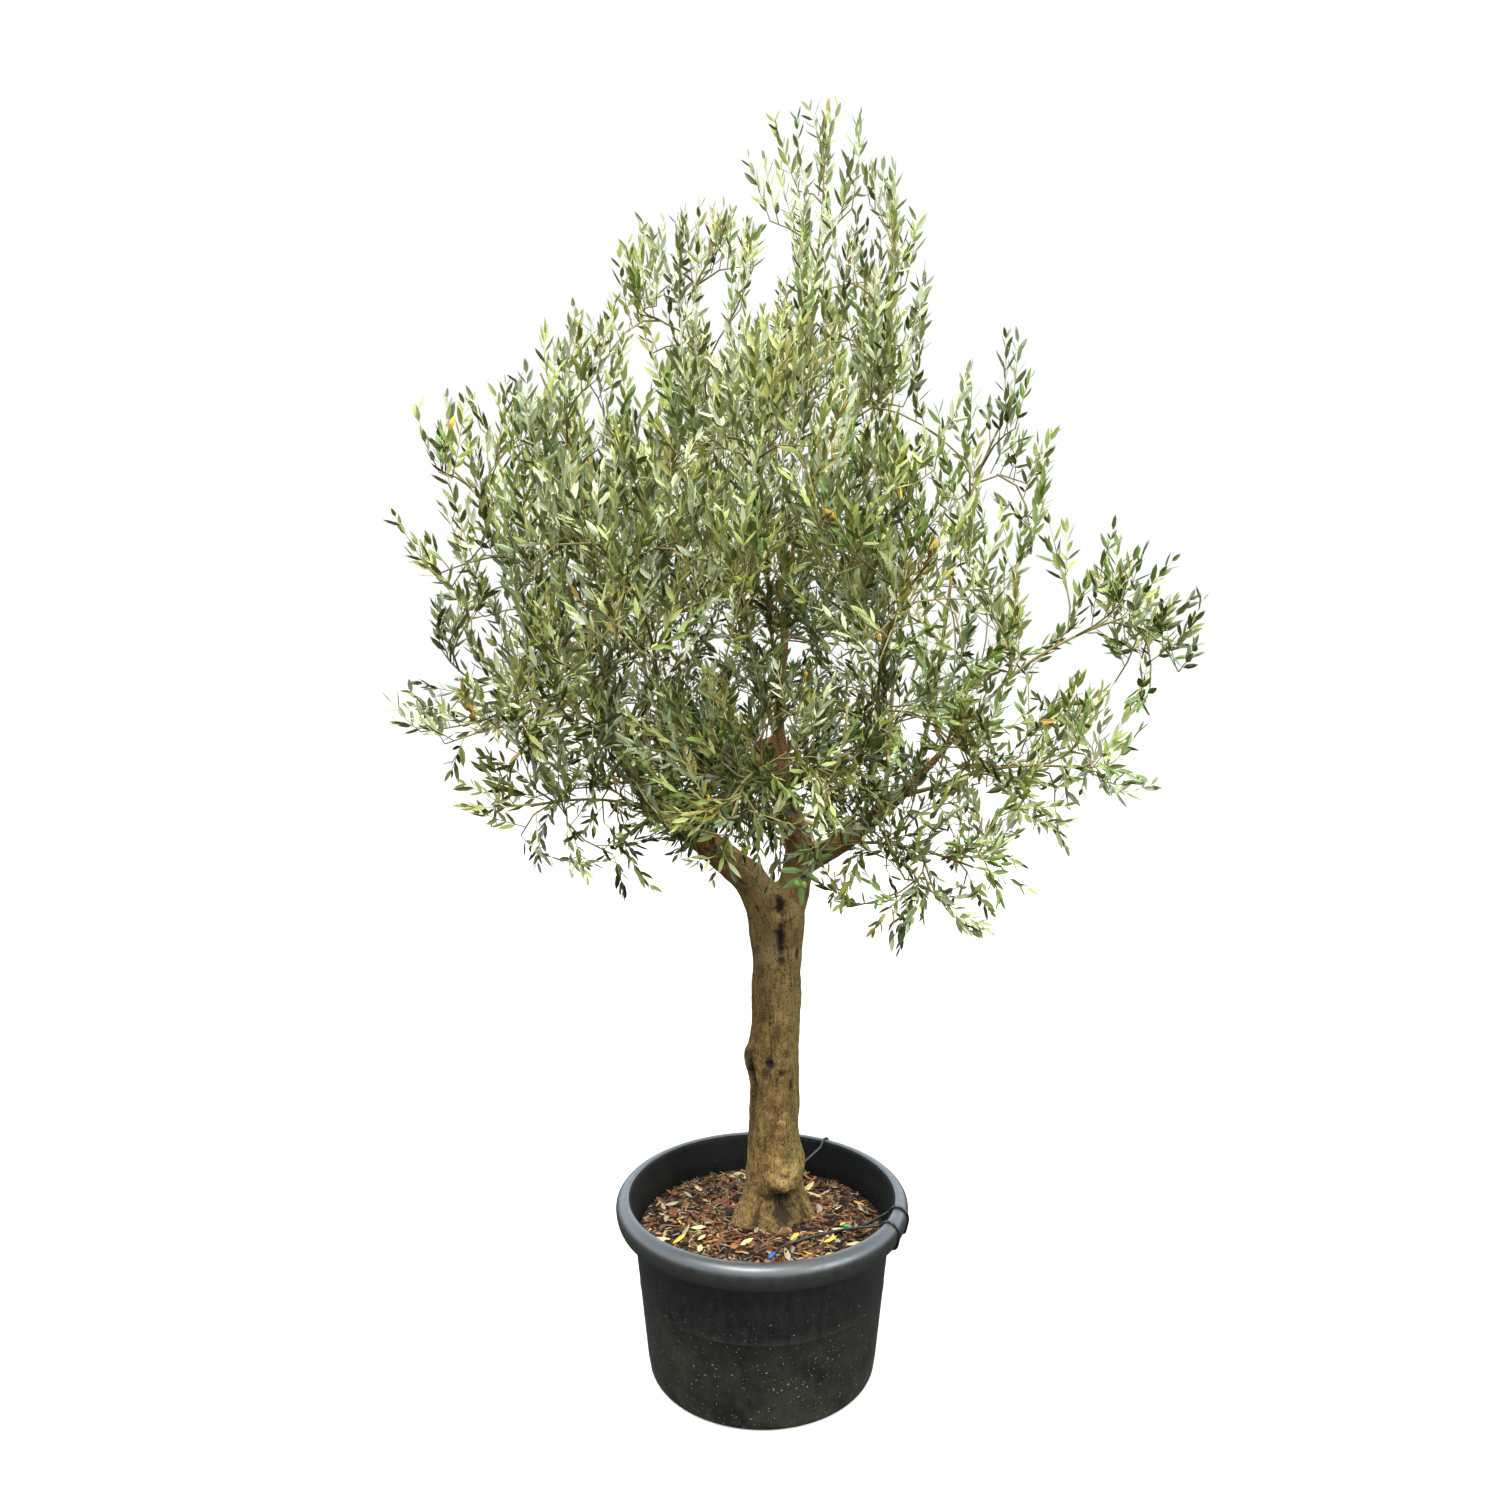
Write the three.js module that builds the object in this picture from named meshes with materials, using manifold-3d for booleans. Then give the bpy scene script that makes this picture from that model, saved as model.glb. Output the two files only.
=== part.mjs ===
// A standard olive tree in a black plastic nursery pot.
// Millimetres, +Z up. The origin is the centre of the pot's flat underside,
// +X is to the right of a viewer who stands on the -Y side.
import * as THREE from "three";
import { mergeVertices } from "three/addons/utils/BufferGeometryUtils.js";
import Module from "manifold-3d";

const wasm = await Module();
wasm.setup();

// Driving dimensions
const GAP = 0.3;

// The rolled rim hangs outside the body, its crest is rounded more on the outside,
// and its skirt leans in at the lip. The top radius is the body's, level with the lip.
const POT = {
  height: 430,
  rimRadius: 350,
  rimDrop: 58,
  rimRound: 24,
  innerRound: 12,
  lipInset: 7,
  topRadius: 309,
  baseRadius: 273,
  baseRound: 16,
  wall: 6,
  floor: 9,
  sides: 36,
};

// The mound is flat out to its radius, and its slope has a shoulder at shares of its run and its rise.
const SOIL = {
  edgeHeight: 344,
  groundHeight: 360,
  moundRadius: 150,
  shoulderRun: 0.5,
  shoulderRise: 0.4,
  edgeGap: 1,
};

const DRIP = { radius: 3, sides: 5, onSoil: 0.5, overRim: 2.6 };

const TRUNK = {
  foot: [27, 30],
  fork: [36, 0],
  top: 1186,
  waist: 58.5,
  depthShare: 0.95,
  rootFlare: 29,
  flareHeight: 85,
  rootLobes: 5,
  lobeDepth: 0.13,
  lobeTurn: 0.6,
  forkSwell: 9,
  forkStart: 960,
  domeStart: 1096,
  domeRound: 0.96,
  sides: 18,
  rings: 20,
  ringCrowding: 0.35,
};

// Old knots on the trunk: direction round the trunk in degrees from +X, height, size and bulge.
const BURLS = [
  { angle: 192, height: 765, size: 40, bulge: 17 },
  { angle: 268, height: 742, size: 22, bulge: 7 },
  { angle: 288, height: 464, size: 34, bulge: 28 },
  { angle: 345, height: 498, size: 36, bulge: 12 },
  { angle: 222, height: 368, size: 38, bulge: 20 },
  { angle: 326, height: 372, size: 32, bulge: 9 },
];

// The three main limbs: where each starts, the bends that it passes, and its base radius.
const MAIN_LIMBS = [
  { mass: "left", from: [34, 4, 1010], via: [[-17, 2, 1176], [-95, 0, 1252], [-275, -8, 1412]], base: 52 },
  { mass: "top", from: [44, 0, 1070], via: [[86, 2, 1262], [42, 8, 1425]], base: 43 },
  { mass: "right", from: [78, 0, 1225], via: [[196, 0, 1292], [335, 4, 1408]], base: 31 },
];

const LEADER = "top";

// All limbs: a collar swells the base and fades out, then the radius runs down to the tip.
// A side limb is thinner than its parent, and leaves outwards before it turns up.
const LIMB = {
  tip: 6,
  sideBase: 12,
  sideShare: 0.8,
  collar: 0.1,
  collarFade: 9,
  taper: 0.75,
  bendOut: 0.6,
  bendUp: 0.4,
  sides: 5,
  fewestRings: 3,
  ringSpacing: 140,
};

// The pruned stub on the leader: where it leaves, where it was cut, and its radius.
// Past it the leader is a younger shoot, so its radius falls to a share over a stretch of its length.
const STUB = {
  from: [44, 8, 1415],
  cut: [2, 4, 1524],
  base: 29,
  tip: 23,
  thinsFrom: 0.27,
  thinsTo: 0.42,
  leaderShare: 0.55,
};

// Masses of foliage: the limb that carries each one, how far along that limb its own bough leaves,
// its centre, and its reach from there along X, Y and Z.
const MASSES = [
  { name: "left", centre: [-580, 20, 2030], reach: [330, 365, 310] },
  { name: "top", centre: [115, 45, 2555], reach: [225, 280, 415] },
  { name: "right", centre: [655, 5, 1765], reach: [360, 355, 275] },
  { name: "shoulder_left", limb: "left", share: 0.62, centre: [-425, -50, 2205], reach: [225, 315, 295] },
  { name: "low_left", limb: "left", share: 0.5, centre: [-540, -25, 1650], reach: [310, 365, 255] },
  { name: "skirt_left", limb: "left", share: 0.34, centre: [-350, -165, 1425], reach: [310, 330, 235] },
  { name: "front_left", limb: "left", share: 0.42, centre: [-230, -370, 1860], reach: [295, 365, 350] },
  { name: "back_left", limb: "left", share: 0.48, centre: [-315, 410, 1880], reach: [380, 405, 440] },
  { name: "upper_left", limb: "top", share: 0.36, centre: [-145, 90, 2345], reach: [275, 355, 400] },
  { name: "front_centre", limb: "top", share: 0.42, centre: [-5, -330, 2000], reach: [280, 355, 420] },
  { name: "upper_right", limb: "top", share: 0.62, centre: [260, -65, 2385], reach: [195, 330, 415] },
  { name: "back_top", limb: "top", share: 0.52, centre: [55, 375, 2270], reach: [365, 340, 405] },
  { name: "front_low", limb: "top", share: 0.22, centre: [-20, -365, 1505], reach: [315, 330, 250] },
  { name: "back_low", limb: "top", share: 0.28, centre: [5, 415, 1455], reach: [405, 355, 255] },
  { name: "front_right", limb: "right", share: 0.3, centre: [245, -355, 1840], reach: [275, 355, 355] },
  { name: "shoulder_right", limb: "right", share: 0.56, centre: [465, 5, 2105], reach: [220, 330, 355] },
  { name: "low_right", limb: "right", share: 0.48, centre: [585, -40, 1475], reach: [310, 340, 235] },
  { name: "skirt_right", limb: "right", share: 0.2, centre: [320, -170, 1310], reach: [290, 330, 230] },
  { name: "back_right", limb: "right", share: 0.4, centre: [360, 395, 1860], reach: [390, 390, 425] },
];

// How a mass grows. Shares are of the mass's reach or of a stem's length, lengths are millimetres.
// Stems lean out at the crown's foot and stand up near its top.
const GROWTH = {
  crownFoot: 1290,
  crownTop: 2500,
  droop: -0.3,
  leanLost: 0.75,
  footShare: 0.6,
  stemShare: 0.52,
  stemBend: 0.45,
  stemPlaces: 20,
  shootShare: 0.64,
  shootSpread: [0.85, 1.1],
  cellMargin: 0.02,
  limbMargin: 6,
  limbPlaces: 10,
  firstShoot: 0.1,
  branchBack: 0.45,
  followStem: 0.4,
  step: 20,
  fewestSteps: 3,
  seedStep: 1000,
};
// Steps of the even spread over a sphere, and of the turn from one leaf to the next.
const LEVEL_STEP = 0.7548776662466927;
const TURN_STEP = 0.5698402909980532;
const GOLDEN_ANGLE = Math.PI * (3 - Math.sqrt(5));

// The solids' twigs and leaves: each leaf stands for a spray of real ones.
const TWIG = { shoots: 6, sides: 3, stemRings: 3, shootRings: 2, shootBase: 4, shootTip: 2.4 };
const LEAF = {
  length: 195,
  width: 60,
  thick: 5,
  sink: 5,
  angle: 42,
  angleSpread: [0.8, 1.2],
  turnSpread: 0.8,
  perShoot: 3,
  firstShare: 0.25,
  lastShare: 0.97,
};
// Sizes that a leaf may have, largest first, and the places on a leaf that have to be clear.
const LEAF_SIZES = [1, 0.84, 0.7, 0.56];
const LEAF_PLACES = [[0.3, 0.6], [0.3, -0.6], [0.5, 1], [0.5, -1], [0.75, 0], [1, 0]];

// Materials
const bark = new THREE.MeshStandardMaterial({ color: 0x8a6f4e, roughness: 0.9, metalness: 0 });
const foliage = new THREE.MeshStandardMaterial({ color: 0x717c4c, roughness: 0.6, metalness: 0 });
const plastic = new THREE.MeshStandardMaterial({ color: 0x23241f, roughness: 0.5, metalness: 0 });
const mulch = new THREE.MeshStandardMaterial({ color: 0x6b4a33, roughness: 1, metalness: 0 });

// Helpers
const UP = new THREE.Vector3(0, 0, 1);
const vector = (point) => new THREE.Vector3(...point);
const mix = (a, b, share) => a + (b - a) * share;
const clamp01 = (value) => Math.min(1, Math.max(0, value));
const radians = (degrees) => (degrees * Math.PI) / 180;

function smoothstep(from, to, value) {
  const share = clamp01((value - from) / (to - from));
  return share * share * (3 - 2 * share);
}

// A repeatable stream of numbers from 0 to 1.
function randomStream(seed) {
  let state = seed >>> 0;
  return () => {
    state = (state + 0x6d2b79f5) >>> 0;
    let bits = Math.imul(state ^ (state >>> 15), 1 | state);
    bits = (bits + Math.imul(bits ^ (bits >>> 7), 61 | bits)) ^ bits;
    return ((bits ^ (bits >>> 14)) >>> 0) / 4294967296;
  };
}

function solidOf(geometry) {
  const bare = geometry.clone();
  bare.deleteAttribute("normal");
  bare.deleteAttribute("uv");
  const merged = mergeVertices(bare, 1e-4);
  const corners = [...merged.index.array];
  const kept = [];
  for (let i = 0; i < corners.length; i += 3) {
    const [a, b, c] = corners.slice(i, i + 3);
    if (a !== b && b !== c && c !== a) kept.push(a, b, c);
  }
  return new wasm.Manifold(
    new wasm.Mesh({
      numProp: 3,
      vertProperties: merged.attributes.position.array,
      triVerts: new Uint32Array(kept),
    }),
  );
}

function geometryOf(solid) {
  const mesh = solid.getMesh();
  const geometry = new THREE.BufferGeometry();
  geometry.setAttribute("position", new THREE.BufferAttribute(mesh.vertProperties, 3));
  geometry.setIndex(new THREE.BufferAttribute(mesh.triVerts, 1));
  return geometry;
}

// The biggest of a solid's separate bodies.
function largestBody(solid) {
  const bodies = solid.decompose();
  return bodies.reduce((best, body) => (body.volume() > best.volume() ? body : best));
}

// A closed solid through rings of equally many corners, anticlockwise round the way ahead.
function loft(rings) {
  const sides = rings[0].length;
  const last = rings.length - 1;
  const corners = rings.flat();
  const faces = [];
  for (let ring = 0; ring < last; ring++) {
    for (let side = 0; side < sides; side++) {
      const a = ring * sides + side;
      const b = ring * sides + ((side + 1) % sides);
      faces.push(a, b, b + sides, a, b + sides, a + sides);
    }
  }
  if (sides === 3) {
    const tip = last * sides;
    faces.push(0, 2, 1, tip, tip + 1, tip + 2);
  } else {
    for (const [ring, ahead] of [[0, false], [last, true]]) {
      const middle = corners.length;
      const sum = rings[ring].reduce((total, corner) => total.add(corner), new THREE.Vector3());
      corners.push(sum.divideScalar(sides));
      for (let side = 0; side < sides; side++) {
        const a = ring * sides + side;
        const b = ring * sides + ((side + 1) % sides);
        faces.push(middle, ...(ahead ? [a, b] : [b, a]));
      }
    }
  }
  const geometry = new THREE.BufferGeometry().setFromPoints(corners);
  geometry.setIndex(faces);
  return geometry;
}

// The corners of a round section in the plane of two directions.
function ringRound(centre, first, second, radius, sides) {
  return Array.from({ length: sides }, (_, side) => {
    const turn = (2 * Math.PI * side) / sides;
    return centre
      .clone()
      .addScaledVector(first, radius * Math.cos(turn))
      .addScaledVector(second, radius * Math.sin(turn));
  });
}

// A round limb along a curve; radiusAt gives its radius at a share of its length.
function taperedTube(curve, ringCount, sides, radiusAt) {
  const { normals, binormals } = curve.computeFrenetFrames(ringCount, false);
  const rings = normals.map((normal, ring) => {
    const share = ring / ringCount;
    return ringRound(curve.getPointAt(share), normal, binormals[ring], radiusAt(share), sides);
  });
  return loft(rings);
}

// A profile of radius and height turned about the Z axis.
function turned(profile, sides) {
  const points = profile.map(([radius, height]) => new THREE.Vector2(radius, height));
  return new THREE.LatheGeometry(points, sides).rotateX(Math.PI / 2);
}

function arc(centreRadius, centreHeight, radius, fromDegrees, toDegrees, steps) {
  return Array.from({ length: steps + 1 }, (_, i) => {
    const turn = radians(mix(fromDegrees, toDegrees, i / steps));
    return [centreRadius + radius * Math.cos(turn), centreHeight + radius * Math.sin(turn)];
  });
}

// Pot and what fills it

const LIP = POT.height - POT.rimDrop;
const CREST_RADIUS = POT.rimRadius - POT.rimRound;

// The rim is rolled over to the outside, open underneath, and the floor is flat.
function potGeometry() {
  const { height, rimRadius, rimRound, innerRound, lipInset, wall } = POT;
  const { topRadius, baseRadius, baseRound, floor } = POT;
  const profile = [
    [0, 0],
    ...arc(baseRadius - baseRound, baseRound, baseRound, -90, 0, 2),
    [topRadius, LIP],
    ...arc(CREST_RADIUS, height - innerRound, innerRound - wall, 180, 90, 1),
    ...arc(CREST_RADIUS, height - rimRound, rimRound - wall, 45, 0, 1),
    [rimRadius - lipInset - wall, LIP],
    [rimRadius - lipInset, LIP],
    ...arc(CREST_RADIUS, height - rimRound, rimRound, 0, 90, 3),
    ...arc(CREST_RADIUS, height - innerRound, innerRound, 135, 180, 1),
    [topRadius - wall, LIP],
    [baseRadius - wall, floor],
    [0, floor],
  ];
  return turned(profile, POT.sides);
}

// The radius of the pot's inside at a height below the lip.
function innerRadius(height) {
  const { baseRadius, topRadius, wall, floor } = POT;
  return mix(baseRadius - wall, topRadius - wall, (height - floor) / (LIP - floor));
}

// Potting soil under a low mound, flat where the trunk stands.
function soilGeometry() {
  const { edgeHeight, groundHeight, moundRadius, shoulderRun, shoulderRise, edgeGap } = SOIL;
  const bottom = POT.floor + GAP;
  const profile = [
    [0, bottom],
    [innerRadius(bottom) - edgeGap, bottom],
    [innerRadius(edgeHeight) - edgeGap, edgeHeight],
    [mix(moundRadius, innerRadius(edgeHeight), shoulderRun), mix(edgeHeight, groundHeight, shoulderRise)],
    [moundRadius, groundHeight - GAP],
    [0, groundHeight - GAP],
  ];
  return turned(profile, POT.sides);
}

// A thin irrigation tube through the points of its route.
// The direction across is level, and square to the tube where it crosses the rim.
function dripGeometry({ points, across }) {
  const curve = new THREE.CatmullRomCurve3(points.map(vector));
  const rings = points.map((point, i) => {
    const heading = curve.getTangent(i / (points.length - 1));
    const first = new THREE.Vector3().crossVectors(across, heading).normalize();
    const second = new THREE.Vector3().crossVectors(heading, first);
    return ringRound(vector(point), first, second, DRIP.radius, DRIP.sides);
  });
  return loft(rings);
}

// The height of the soil's top at a distance from the pot's middle.
function soilHeight(radius) {
  const { edgeHeight, groundHeight, moundRadius, shoulderRun, shoulderRise } = SOIL;
  const edge = innerRadius(edgeHeight);
  const middle = mix(moundRadius, edge, shoulderRun);
  const shoulder = mix(edgeHeight, groundHeight, shoulderRise);
  if (radius <= moundRadius) return groundHeight;
  if (radius <= middle) return mix(groundHeight, shoulder, (radius - moundRadius) / (middle - moundRadius));
  return mix(shoulder, edgeHeight, (radius - middle) / (edge - middle));
}

// The tube's route: over the mulch from its emitter, over the rim, and in under the lip that holds it.
function dripRoute(emitter, resting, rimAngle) {
  const { height, rimRadius, rimRound, innerRound, lipInset, wall } = POT;
  const turn = radians(rimAngle);
  const clear = DRIP.radius + DRIP.overRim;
  const rest = ([x, y]) => [x, y, soilHeight(Math.hypot(x, y)) + DRIP.radius + DRIP.onSoil];
  const spoke = ([radius, level]) => [radius * Math.cos(turn), radius * Math.sin(turn), level];
  const overRim = [
    ...arc(CREST_RADIUS, height - innerRound, innerRound + clear, 180, 90, 2),
    ...arc(CREST_RADIUS, height - rimRound, rimRound + clear, 60, 0, 2),
    ...arc(rimRadius - lipInset, LIP, clear, 0, -90, 2),
    [rimRadius - lipInset - wall, LIP - clear],
  ];
  const across = new THREE.Vector3(-Math.sin(turn), Math.cos(turn), 0);
  return { points: [emitter, ...resting].map(rest).concat(overRim.map(spoke)), across };
}

// Trunk

function trunkAxis(height) {
  const share = clamp01((height - SOIL.groundHeight) / (TRUNK.top - SOIL.groundHeight));
  const sway = share * share * (3 - 2 * share);
  return new THREE.Vector3(
    mix(TRUNK.foot[0], TRUNK.fork[0], sway),
    mix(TRUNK.foot[1], TRUNK.fork[1], sway),
    height,
  );
}

function burlBulge(turn, height) {
  return BURLS.reduce((sum, burl) => {
    const aside = Math.atan2(Math.sin(turn - radians(burl.angle)), Math.cos(turn - radians(burl.angle)));
    const along = (aside * TRUNK.waist) / burl.size;
    const up = (height - burl.height) / burl.size;
    return sum + burl.bulge * Math.exp(-(along * along + up * up));
  }, 0);
}

function trunkRadius(turn, height) {
  const above = height - SOIL.groundHeight;
  const flare = Math.exp(-above / TRUNK.flareHeight);
  const lobes = 1 + TRUNK.lobeDepth * flare * Math.cos(TRUNK.rootLobes * turn + TRUNK.lobeTurn);
  const spread = smoothstep(TRUNK.forkStart, TRUNK.top, height);
  const dome = clamp01((height - TRUNK.domeStart) / (TRUNK.top - TRUNK.domeStart));
  const round = (TRUNK.waist + TRUNK.rootFlare * flare) * lobes + TRUNK.forkSwell * spread;
  return (round + burlBulge(turn, height)) * Math.sqrt(1 - TRUNK.domeRound * dome * dome);
}

function trunkGeometry(grown) {
  const rings = [];
  for (let ring = 0; ring <= TRUNK.rings; ring++) {
    const share = ring / TRUNK.rings;
    const height = mix(SOIL.groundHeight, TRUNK.top, mix(share, share * share, TRUNK.ringCrowding));
    const centre = trunkAxis(height);
    rings.push(
      Array.from({ length: TRUNK.sides }, (_, side) => {
        const turn = (2 * Math.PI * side) / TRUNK.sides;
        const radius = trunkRadius(turn, height) + grown;
        return new THREE.Vector3(
          centre.x + radius * Math.cos(turn),
          centre.y + radius * Math.sin(turn) * TRUNK.depthShare,
          height,
        );
      }),
    );
  }
  const top = TRUNK.top + grown;
  rings.at(-1).forEach((corner) => corner.setZ(top));
  return loft(rings);
}

// Boughs

const massNamed = (name) => MASSES.find((mass) => mass.name === name);

// A bough ends where it enters its mass, short of the middle on the side that it comes from.
function footOf(mass, from) {
  const centre = vector(mass.centre);
  const reach = vector(mass.reach);
  const towards = from.clone().sub(centre).divide(reach);
  const share = Math.min(1, 1 / towards.length()) * GROWTH.footShare;
  return towards.multiplyScalar(share).multiply(reach).add(centre);
}

// A side limb leaves outwards and then turns up.
function sideCurve(from, to) {
  const bend = new THREE.Vector3(
    mix(from.x, to.x, LIMB.bendOut),
    mix(from.y, to.y, LIMB.bendOut),
    mix(from.z, to.z, LIMB.bendUp),
  );
  return new THREE.QuadraticBezierCurve3(from, bend, to);
}

function planBoughs() {
  const boughs = new Map();
  const add = (mass, curve, base) => {
    const collar = (share) => 1 + LIMB.collar * Math.exp(-share * LIMB.collarFade);
    const tapered = (share) => mix(base, LIMB.tip, Math.pow(share, LIMB.taper)) * collar(share);
    const younger = (share) => mix(1, STUB.leaderShare, smoothstep(STUB.thinsFrom, STUB.thinsTo, share));
    const radiusAt = mass.name === LEADER ? (share) => tapered(share) * younger(share) : tapered;
    boughs.set(mass.name, { mass, curve, radiusAt });
  };
  for (const limb of MAIN_LIMBS) {
    const mass = massNamed(limb.mass);
    const bends = [limb.from, ...limb.via].map(vector);
    const curve = new THREE.CatmullRomCurve3([...bends, footOf(mass, bends.at(-1))]);
    add(mass, curve, limb.base);
  }
  for (const mass of MASSES.filter((each) => each.limb)) {
    const parent = boughs.get(mass.limb);
    const from = parent.curve.getPointAt(mass.share);
    const base = Math.min(LIMB.sideBase, LIMB.sideShare * parent.radiusAt(mass.share));
    add(mass, sideCurve(from, footOf(mass, from)), base);
  }
  return boughs;
}

function boughSolid(bough, grown) {
  const rings = Math.max(LIMB.fewestRings, Math.ceil(bough.curve.getLength() / LIMB.ringSpacing));
  const tube = taperedTube(bough.curve, rings, LIMB.sides, (share) => bough.radiusAt(share) + grown);
  if (bough.mass.name !== LEADER) return solidOf(tube);
  const ahead = vector(STUB.cut).sub(vector(STUB.from)).normalize();
  const stub = new THREE.LineCurve3(
    vector(STUB.from).addScaledVector(ahead, -grown),
    vector(STUB.cut).addScaledVector(ahead, grown),
  );
  const stubTube = taperedTube(stub, 1, LIMB.sides, (share) => mix(STUB.base, STUB.tip, share) + grown);
  return solidOf(tube).add(solidOf(stubTube));
}

// Masses of foliage

// A point's distance from a mass's centre as a share of the mass's reach that way.
function shareOut(mass, point) {
  return point.clone().sub(vector(mass.centre)).divide(vector(mass.reach)).length();
}

// A mass keeps to the points that are nearer to its own centre than to any other's, in shares of reach.
function inOwnSpace(mass, point) {
  const out = shareOut(mass, point);
  if (out > 1) return false;
  return MASSES.every((other) => other === mass || out + GROWTH.cellMargin <= shareOut(other, point));
}

function stemCurve(mass, bough) {
  const foot = bough.curve.getPointAt(1);
  const heading = bough.curve.getTangentAt(1);
  const rise = clamp01((mass.centre[2] - GROWTH.crownFoot) / (GROWTH.crownTop - GROWTH.crownFoot));
  const away = new THREE.Vector3(mass.centre[0] - TRUNK.fork[0], mass.centre[1] - TRUNK.fork[1], 0);
  const outward = away.normalize().multiplyScalar(1 - GROWTH.leanLost * rise);
  const aim = outward.addScaledVector(UP, mix(GROWTH.droop, 1, rise)).normalize();
  const tip = aim.multiplyScalar(GROWTH.stemShare).multiply(vector(mass.reach)).add(vector(mass.centre));
  const start = foot.clone().addScaledVector(heading, GAP);
  const bend = start.clone().addScaledVector(heading, GROWTH.stemBend * start.distanceTo(tip));
  return new THREE.QuadraticBezierCurve3(start, bend, tip);
}

// Places along a limb, each with the limb's radius there.
function placesAlong(curve, radiusAt, owner) {
  const steps = Math.ceil(curve.getLength() / GROWTH.limbPlaces);
  return Array.from({ length: steps + 1 }, (_, i) => {
    return { at: curve.getPointAt(i / steps), radius: radiusAt(i / steps), owner };
  });
}

// The limbs and stems that leaves and twigs keep clear of, as points with a radius.
function obstaclePoints(boughs, stems) {
  const points = [];
  for (let height = SOIL.groundHeight; height <= TRUNK.top; height += GROWTH.limbPlaces) {
    points.push({ at: trunkAxis(height), radius: trunkRadius(0, height) });
  }
  for (const bough of boughs.values()) points.push(...placesAlong(bough.curve, bough.radiusAt));
  for (const [owner, stem] of stems) points.push(...placesAlong(stem, () => LIMB.tip, owner));
  return points;
}

function clearOfLimbs(obstacles, mass, point) {
  return obstacles.every(
    (limb) => limb.owner === mass.name || limb.at.distanceTo(point) > limb.radius + GROWTH.limbMargin,
  );
}

// Two directions square to a heading.
function crossAxes(heading) {
  const level = Math.abs(heading.z) > 0.95 ? new THREE.Vector3(1, 0, 0) : UP;
  const first = new THREE.Vector3().crossVectors(heading, level).normalize();
  return [first, new THREE.Vector3().crossVectors(heading, first)];
}

function turnedFrom(heading, angle, turn) {
  const [first, second] = crossAxes(heading);
  return heading
    .clone()
    .multiplyScalar(Math.cos(angle))
    .addScaledVector(first, Math.sin(angle) * Math.cos(turn))
    .addScaledVector(second, Math.sin(angle) * Math.sin(turn))
    .normalize();
}

// The way a shoot heads from the mass's centre: any number of shoots in a row spread evenly on all sides.
function shootAim(index) {
  const level = 1 - 2 * ((0.5 + index * LEVEL_STEP) % 1);
  const turn = 2 * Math.PI * ((index * TURN_STEP) % 1);
  const flat = Math.sqrt(1 - level * level);
  return new THREE.Vector3(flat * Math.cos(turn), flat * Math.sin(turn), level);
}

// The share of the stem nearest to a point.
function nearestShare(curve, point) {
  const shares = Array.from({ length: GROWTH.stemPlaces + 1 }, (_, i) => i / GROWTH.stemPlaces);
  const distance = (share) => curve.getPoint(share).distanceTo(point);
  return shares.reduce((best, share) => (distance(share) < distance(best) ? share : best));
}

// One shoot: it leaves the stem at a sharp angle and runs out until its space ends.
function shootPath(mass, stem, index, random, allowed) {
  const reach = vector(mass.reach).multiplyScalar(GROWTH.shootShare * mix(...GROWTH.shootSpread, random()));
  const target = shootAim(index).multiply(reach).add(vector(mass.centre));
  const near = nearestShare(stem, target);
  const away = stem.getPoint(near).distanceTo(target);
  const back = (GROWTH.branchBack * away) / stem.getLength();
  const along = Math.max(GROWTH.firstShoot, near - back);
  const start = stem.getPoint(along);
  const bend = start.clone().addScaledVector(stem.getTangent(along), GROWTH.followStem * away);
  const curve = new THREE.QuadraticBezierCurve3(start, bend, target);
  const steps = Math.ceil(curve.getLength() / GROWTH.step);
  const path = [start];
  for (let i = 1; i <= steps; i++) {
    const point = curve.getPoint(i / steps);
    if (!allowed(point)) break;
    path.push(point);
  }
  return path;
}

// A leaf is a thin blade that is widest at its middle, with its root sunk in the twig.
function leafGeometry({ root, heading, side, size }) {
  const face = new THREE.Vector3().crossVectors(heading, side);
  const middle = root.clone().addScaledVector(heading, LEAF.length * size * 0.5 - LEAF.sink);
  const place = new THREE.Matrix4().makeBasis(heading, side, face).setPosition(middle);
  const shape = new THREE.OctahedronGeometry(1);
  shape.scale((LEAF.length * size) / 2, (LEAF.width * size) / 2, LEAF.thick / 2);
  return shape.applyMatrix4(place);
}

function leafFits({ root, heading, side, size }, allowed) {
  const length = LEAF.length * size;
  const half = (LEAF.width * size) / 2;
  return LEAF_PLACES.every(([ahead, aside]) => {
    const point = root.clone().addScaledVector(heading, length * ahead).addScaledVector(side, half * aside);
    return allowed(point);
  });
}

// The largest leaf that fits at a twig's point, or none.
function leafAt(root, heading, roll, allowed) {
  const side = turnedFrom(heading, Math.PI / 2, roll);
  const sizes = LEAF_SIZES.map((size) => ({ root, heading, side, size }));
  const fitting = sizes.find((leaf) => leafFits(leaf, allowed));
  return fitting ? [leafGeometry(fitting)] : [];
}

// A leaf at the shoot's tip, and more on all sides along it.
function leavesOn(shoot, random, allowed) {
  const { lastShare, firstShare, perShoot, angle, angleSpread, turnSpread } = LEAF;
  const leaves = leafAt(shoot.getPointAt(lastShare), shoot.getTangentAt(1), 2 * Math.PI * random(), allowed);
  for (let i = 0; i < perShoot; i++) {
    const share = mix(firstShare, lastShare, (i + 0.5 * random()) / perShoot);
    const lean = radians(angle) * mix(...angleSpread, random());
    const turn = i * GOLDEN_ANGLE + turnSpread * random();
    const heading = turnedFrom(shoot.getTangentAt(share), lean, turn);
    leaves.push(...leafAt(shoot.getPointAt(share), heading, 2 * Math.PI * random(), allowed));
  }
  return leaves;
}

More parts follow.
